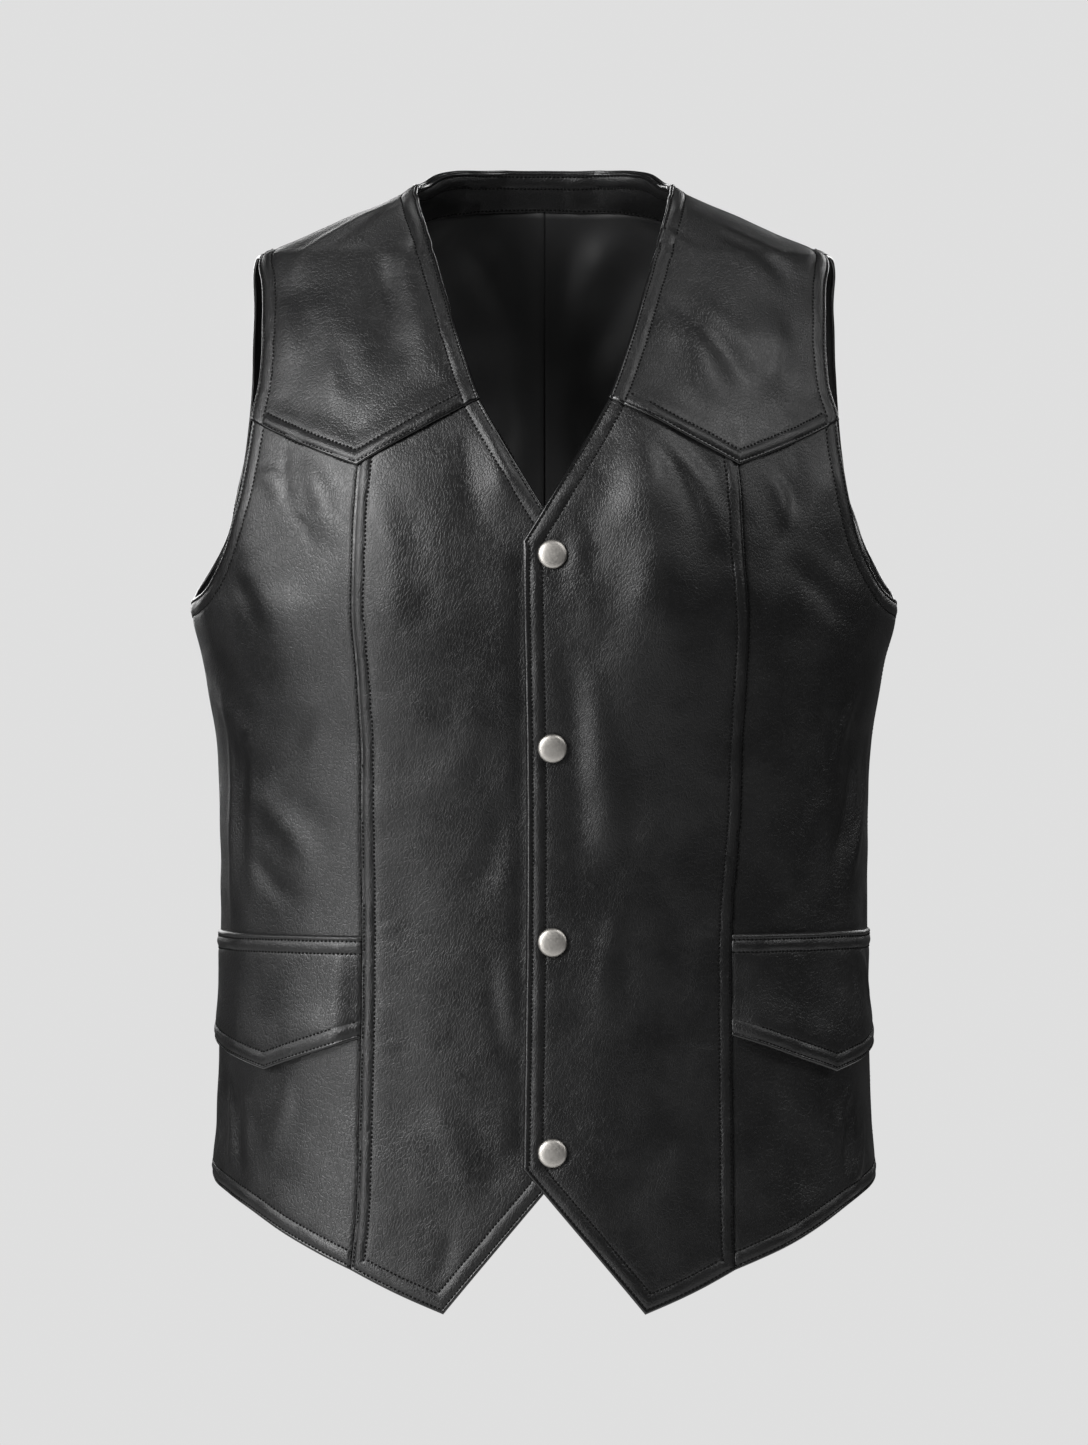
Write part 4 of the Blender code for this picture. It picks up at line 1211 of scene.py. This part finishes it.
def add_back():
    """Make the back, its neck facing and the two halves of its lining."""
    patch = half_back_patch()
    bands = (
        Band("bottom", 0, 3, "turned"),
        Band("inner", 1, 2, "turned"),
        Band("outer", 1, 2, "turned"),
        Band("top", 1, 2, "turned"),
        Band("inner", 0, 0, "caught"),
        Band("outer", 0, 0, "caught"),
        Band("top", 0, 0, "caught"),
        Band("top", 3, 3, "caught"),
    )
    lines = dict.fromkeys(("bottom", "top", "inner"), ROLLED_LINES) | {"outer": PLAIN_LINES}
    yokes = [f"yoke_front_{side}" for side in SIDES]
    more = {"looks": (LEATHER_LOOK,), "mirrored": True}
    add_panel("back", patch, bands, BACK_SPACING, yokes, lines=lines, **more)
    facing_bands = (
        Band("bottom", 0, 1, "faced"),
        Band("top", 0, 1, "turned"),
        Band("inner", 0, 0, "caught"),
        Band("outer", 0, 0, "caught"),
    )
    lines = dict.fromkeys(("bottom", "top"), ROLLED_LINES) | dict.fromkeys(("inner", "outer"), PLAIN_LINES)
    more |= {"inside": True, "lift": facing_lift, "lines": lines}
    facing_patch = patch[2 * FINE :, FINE:]
    add_panel("back_neck_facing", facing_patch, facing_bands, FRONT_SPACING, ["back"], **more)
    lining_bands = (
        Band("bottom", 0, 1, "caught"),
        Band("inner", 0, 2, "caught"),
        Band("outer", 0, 2, "caught"),
        Band("top", 0, 1, "caught"),
    )
    lines = dict.fromkeys(("bottom", "inner"), HUNG_LINES) | dict.fromkeys(("outer", "top"), PLAIN_LINES)

    def under_facing(column_cuts, row_cuts, shape):
        covered = np.zeros((shape[0] - 1, shape[1] - 1), bool)
        covered[row_cuts[2] :, column_cuts[1] :] = True
        return covered

    more = {"looks": (LINING_LOOK,), "slot": "lining", "wall": LINING, "lines": lines, "inside": True}
    more["left_out"] = under_facing
    lifts = {"right": lapped_lining_lift, "left": lining_lift}
    for side, sign in SIDES.items():
        more["lift"] = lifts[side]
        add_panel(f"lining_back_{side}", patch, lining_bands, LINING_SPACING, ["back"], sign, **more)


def add_snap_caps():
    """Turn the four domed caps and seat them square on the overlapping front."""
    turns = np.arange(SNAP_SEGMENTS) * 2 * math.pi / SNAP_SEGMENTS
    rings = np.array(CAP_RINGS) * (SNAP_RADIUS, SNAP_RISE)
    around = np.stack([np.cos(turns), np.sin(turns)], axis=-1)
    points = np.array([[*(radius * spot), rise] for radius, rise in rings[1:-1] for spot in around])
    points = np.concatenate([points, [[0.0, 0.0, rings[0, 1]], [0.0, 0.0, rings[-1, 1]]]])
    top = len(points) - 2
    foot = len(points) - 1
    faces = []
    last_ring = (len(rings) - 3) * SNAP_SEGMENTS
    for i in range(SNAP_SEGMENTS):
        j = (i + 1) % SNAP_SEGMENTS
        faces.append((top, i, j, j))
        for low in range(0, last_ring, SNAP_SEGMENTS):
            faces.append((low + i, low + SNAP_SEGMENTS + i, low + SNAP_SEGMENTS + j, low + j))
        faces.append((foot, last_ring + j, last_ring + i, last_ring + i))
    faces = [face if len(set(face)) == 4 else face[:3] for face in faces]
    for number, height in enumerate(SNAP_HEIGHTS, start=1):
        heights = (height - SNAP_RADIUS, height, height + SNAP_RADIUS)
        below, seat, above = surface(np.array([place_at(SNAP_OFFSET, level) for level in heights]))
        lean = math.atan2(above[1] - below[1], above[2] - below[2])
        stand_off = LAP_LIFT + TURNED_EDGE - SNAP_PRESS
        mesh = bpy.data.meshes.new(f"snap_cap_{number}_metal")
        mesh.from_pydata(points.tolist(), [], faces)
        mesh.materials.append(NICKEL_LOOK)
        mesh.shade_smooth()
        cap = bpy.data.objects.new(mesh.name, mesh)
        bpy.context.scene.collection.objects.link(cap)
        ahead = seat[1] - stand_off * math.cos(lean)
        cap.location = (SNAP_OFFSET, ahead, height + stand_off * math.sin(lean))
        cap.rotation_euler = (math.pi / 2 - lean, 0.0, 0.0)
        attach(cap, "root")
        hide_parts(f"snap_cap_{number}")


def new_material(name, colour, roughness, metallic=0.0):
    """Make a material and give back its node tree, its shader and the place on the object."""
    material = bpy.data.materials.new(name)
    material.use_nodes = True
    tree = material.node_tree
    shader = tree.nodes["Principled BSDF"]
    shader.inputs["Base Color"].default_value = (*colour, 1.0)
    shader.inputs["Roughness"].default_value = roughness
    shader.inputs["Metallic"].default_value = metallic
    return material, tree, shader, tree.nodes.new("ShaderNodeTexCoord").outputs["Object"]


def add_node(tree, kind, settings=None, **inputs):
    """Add a shader node, set its properties, and set or link its inputs."""
    node = tree.nodes.new(kind)
    for name, value in (settings or {}).items():
        setattr(node, name, value)
    for name, value in inputs.items():
        socket = node.inputs[int(name[1:])] if name[0] == "_" else node.inputs[name.replace("_", " ")]
        if isinstance(value, bpy.types.NodeSocket):
            tree.links.new(value, socket)
        else:
            socket.default_value = value
    return node


def math_node(tree, operation, first, second=0.0, third=0.0):
    numbers = {"_0": first, "_1": second, "_2": third}
    return add_node(tree, "ShaderNodeMath", {"operation": operation}, **numbers).outputs[0]


def vector_node(tree, operation, **inputs):
    return add_node(tree, "ShaderNodeVectorMath", {"operation": operation}, **inputs).outputs[0]


def map_range(tree, value, low, high, new_low=0.0, new_high=1.0):
    sizes = {"From_Min": low, "From_Max": high, "To_Min": new_low, "To_Max": new_high}
    settings = {"interpolation_type": "SMOOTHSTEP"}
    return add_node(tree, "ShaderNodeMapRange", settings, Value=value, **sizes).outputs[0]


def noise(tree, vector, scale, detail=2.0, roughness=0.5):
    values = {"Scale": scale, "Detail": detail, "Roughness": roughness}
    return add_node(tree, "ShaderNodeTexNoise", Vector=vector, **values)


def cells(tree, vector, scale):
    """Give the distance to the nearest border between cells."""
    settings = {"feature": "DISTANCE_TO_EDGE"}
    return add_node(tree, "ShaderNodeTexVoronoi", settings, Vector=vector, Scale=scale).outputs["Distance"]


def add_bump(tree, shader, height, strength, distance):
    bump = add_node(tree, "ShaderNodeBump", Height=height, Strength=strength, Distance=distance)
    tree.links.new(bump.outputs[0], shader.inputs["Normal"])


def add_weave(tree, shader, place, scale, strength):
    """Raise fine slanting ribs."""
    settings = {"bands_direction": "DIAGONAL"}
    weave = add_node(tree, "ShaderNodeTexWave", settings, Vector=place, Scale=scale)
    add_bump(tree, shader, weave.outputs["Fac"], strength, WEAVE_HEIGHT)


def leather_look():
    """Black leather: a fine pebbled grain, short slanting wrinkles, an uneven sheen and rubbed edges."""
    material, tree, shader, place = new_material("leather", (0.0045, 0.0045, 0.0047), 0.42)
    drift = noise(tree, place, GRAIN_DRIFT_SCALE).outputs["Color"]
    centred = vector_node(tree, "SUBTRACT", _0=drift, _1=(0.5, 0.5, 0.5))
    small = vector_node(tree, "SCALE", _0=centred, Scale=GRAIN_DRIFT)
    warped = vector_node(tree, "ADD", _0=place, _1=small)
    slant = {"Vector": warped, "Rotation": (0.0, GRAIN_SLANT, 0.0), "Scale": (1.0, 1.0, GRAIN_LENGTH)}
    slanted = add_node(tree, "ShaderNodeMapping", {"vector_type": "TEXTURE"}, **slant).outputs[0]
    pebbles = map_range(tree, cells(tree, slanted, PEBBLE_SCALE), 0.0, PEBBLE_RIM)
    lines = map_range(tree, cells(tree, slanted, WRINKLE_SCALE), 0.0, WRINKLE_RIM)
    fine = noise(tree, place, PORE_SCALE, 3.0, 0.6).outputs[0]
    cloud = noise(tree, place, CLOUD_SCALE, 3.0, 0.55).outputs[0]
    patchy = map_range(tree, cloud, 0.38, 0.66, *WRINKLE_WEIGHTS)
    wrinkles = math_node(tree, "MULTIPLY", lines, patchy)
    height = math_node(tree, "MULTIPLY_ADD", pebbles, PEBBLE_WEIGHT, wrinkles)
    rough_height = math_node(tree, "MULTIPLY_ADD", fine, PORE_WEIGHT, height)
    edge = add_node(tree, "ShaderNodeAttribute", {"attribute_name": "near_edge"}).outputs["Fac"]
    strength = map_range(tree, edge, 0.0, 1.0, GRAIN_STRENGTH, EDGE_GRAIN_STRENGTH)
    add_bump(tree, shader, rough_height, strength, GRAIN_HEIGHT)
    sheen = map_range(tree, cloud, 0.30, 0.70, *LEATHER_ROUGHNESS)
    burnish = map_range(tree, edge, 0.0, 1.0, 1.0, EDGE_ROUGHNESS_SHARE)
    tree.links.new(math_node(tree, "MULTIPLY", sheen, burnish), shader.inputs["Roughness"])
    shader.inputs["Coat Weight"].default_value = 0.10
    shader.inputs["Coat Roughness"].default_value = 0.32
    return material


def lining_look():
    """Black satin with a fine diagonal weave."""
    material, tree, shader, place = new_material("lining", (0.013, 0.013, 0.0134), 0.5)
    add_weave(tree, shader, place, 700.0, 0.2)
    cloud = noise(tree, place, 14.0, 3.0).outputs[0]
    tree.links.new(map_range(tree, cloud, 0.3, 0.7, 0.46, 0.60), shader.inputs["Roughness"])
    return material


def thread_look():
    """Black sewing thread with a fine twist."""
    material, tree, shader, place = new_material("thread", (0.006, 0.006, 0.006), 0.75)
    shader.inputs["Specular IOR Level"].default_value = 0.06
    add_weave(tree, shader, place, 1500.0, 0.3)
    return material


def nickel_look():
    """Satin nickel with faint turning marks and small scuffs."""
    material, tree, shader, place = new_material("nickel", (0.50, 0.48, 0.45), 0.44, 1.0)
    settings = {"wave_type": "RINGS", "rings_direction": "Z"}
    rings = add_node(tree, "ShaderNodeTexWave", settings, Vector=place, Scale=900.0)
    add_bump(tree, shader, rings.outputs["Fac"], 0.08, WEAVE_HEIGHT)
    scuffs = noise(tree, place, 700.0, 4.0, 0.6).outputs[0]
    tree.links.new(map_range(tree, scuffs, 0.35, 0.7, 0.42, 0.52), shader.inputs["Roughness"])
    return material


def floor_look():
    """Pale matt floor."""
    material, tree, shader, place = new_material("floor", (0.72, 0.72, 0.72), 0.8)
    cloud = noise(tree, place, 5.0, 3.0).outputs[0]
    tree.links.new(map_range(tree, cloud, 0.3, 0.7, 0.75, 0.85), shader.inputs["Roughness"])
    return material


def add_studio():
    """Set up the floor, the plain background, the lamps and the camera."""
    bpy.ops.mesh.primitive_circle_add(
        vertices=FLOOR_SIDES, radius=FLOOR_RADIUS, fill_type="NGON", location=(0.0, 0.0, FLOOR_HEIGHT)
    )
    floor = bpy.context.object
    floor.name = "floor"
    floor.data.materials.append(floor_look())
    world = bpy.data.worlds.new("studio")
    bpy.context.scene.world = world
    world.use_nodes = True
    tree = world.node_tree
    tree.nodes.clear()
    white = (1.0, 1.0, 1.0, 1.0)
    seen = add_node(tree, "ShaderNodeBackground", Color=white, Strength=BACKGROUND).outputs[0]
    light = add_node(tree, "ShaderNodeBackground", Color=white, Strength=AMBIENT).outputs[0]
    straight = tree.nodes.new("ShaderNodeLightPath").outputs["Is Camera Ray"]
    mix = add_node(tree, "ShaderNodeMixShader", _0=straight, _1=light, _2=seen)
    out = tree.nodes.new("ShaderNodeOutputWorld")
    tree.links.new(mix.outputs[0], out.inputs["Surface"])
    for lamp in LAMPS:
        data = bpy.data.lights.new(lamp.name, "AREA")
        data.shape = "RECTANGLE"
        data.size = lamp.width
        data.size_y = lamp.height
        data.energy = lamp.power
        thing = bpy.data.objects.new(lamp.name, data)
        thing.location = lamp.place
        aim = Vector(lamp.aim) - Vector(lamp.place)
        thing.rotation_euler = aim.to_track_quat("-Z", "Y").to_euler()
        bpy.context.scene.collection.objects.link(thing)
    data = bpy.data.cameras.new("photo_view")
    data.sensor_width = SENSOR
    data.lens = SENSOR / 2 * -CAMERA_PLACE[1] / (max(PICTURE_SIZE) / 2 * PICTURE_SCALE)
    camera = bpy.data.objects.new("photo_view", data)
    camera.location = CAMERA_PLACE
    camera.rotation_euler = (math.pi / 2, 0.0, 0.0)
    bpy.context.scene.collection.objects.link(camera)
    bpy.context.scene.camera = camera


LEATHER_LOOK = leather_look()
LINING_LOOK = lining_look()
THREAD = thread_look()
NICKEL_LOOK = nickel_look()
add_studio()
for vest_side in SIDES:
    add_fronts(vest_side)
add_back()
add_snap_caps()
bpy.context.scene.view_settings.view_transform = "Standard"
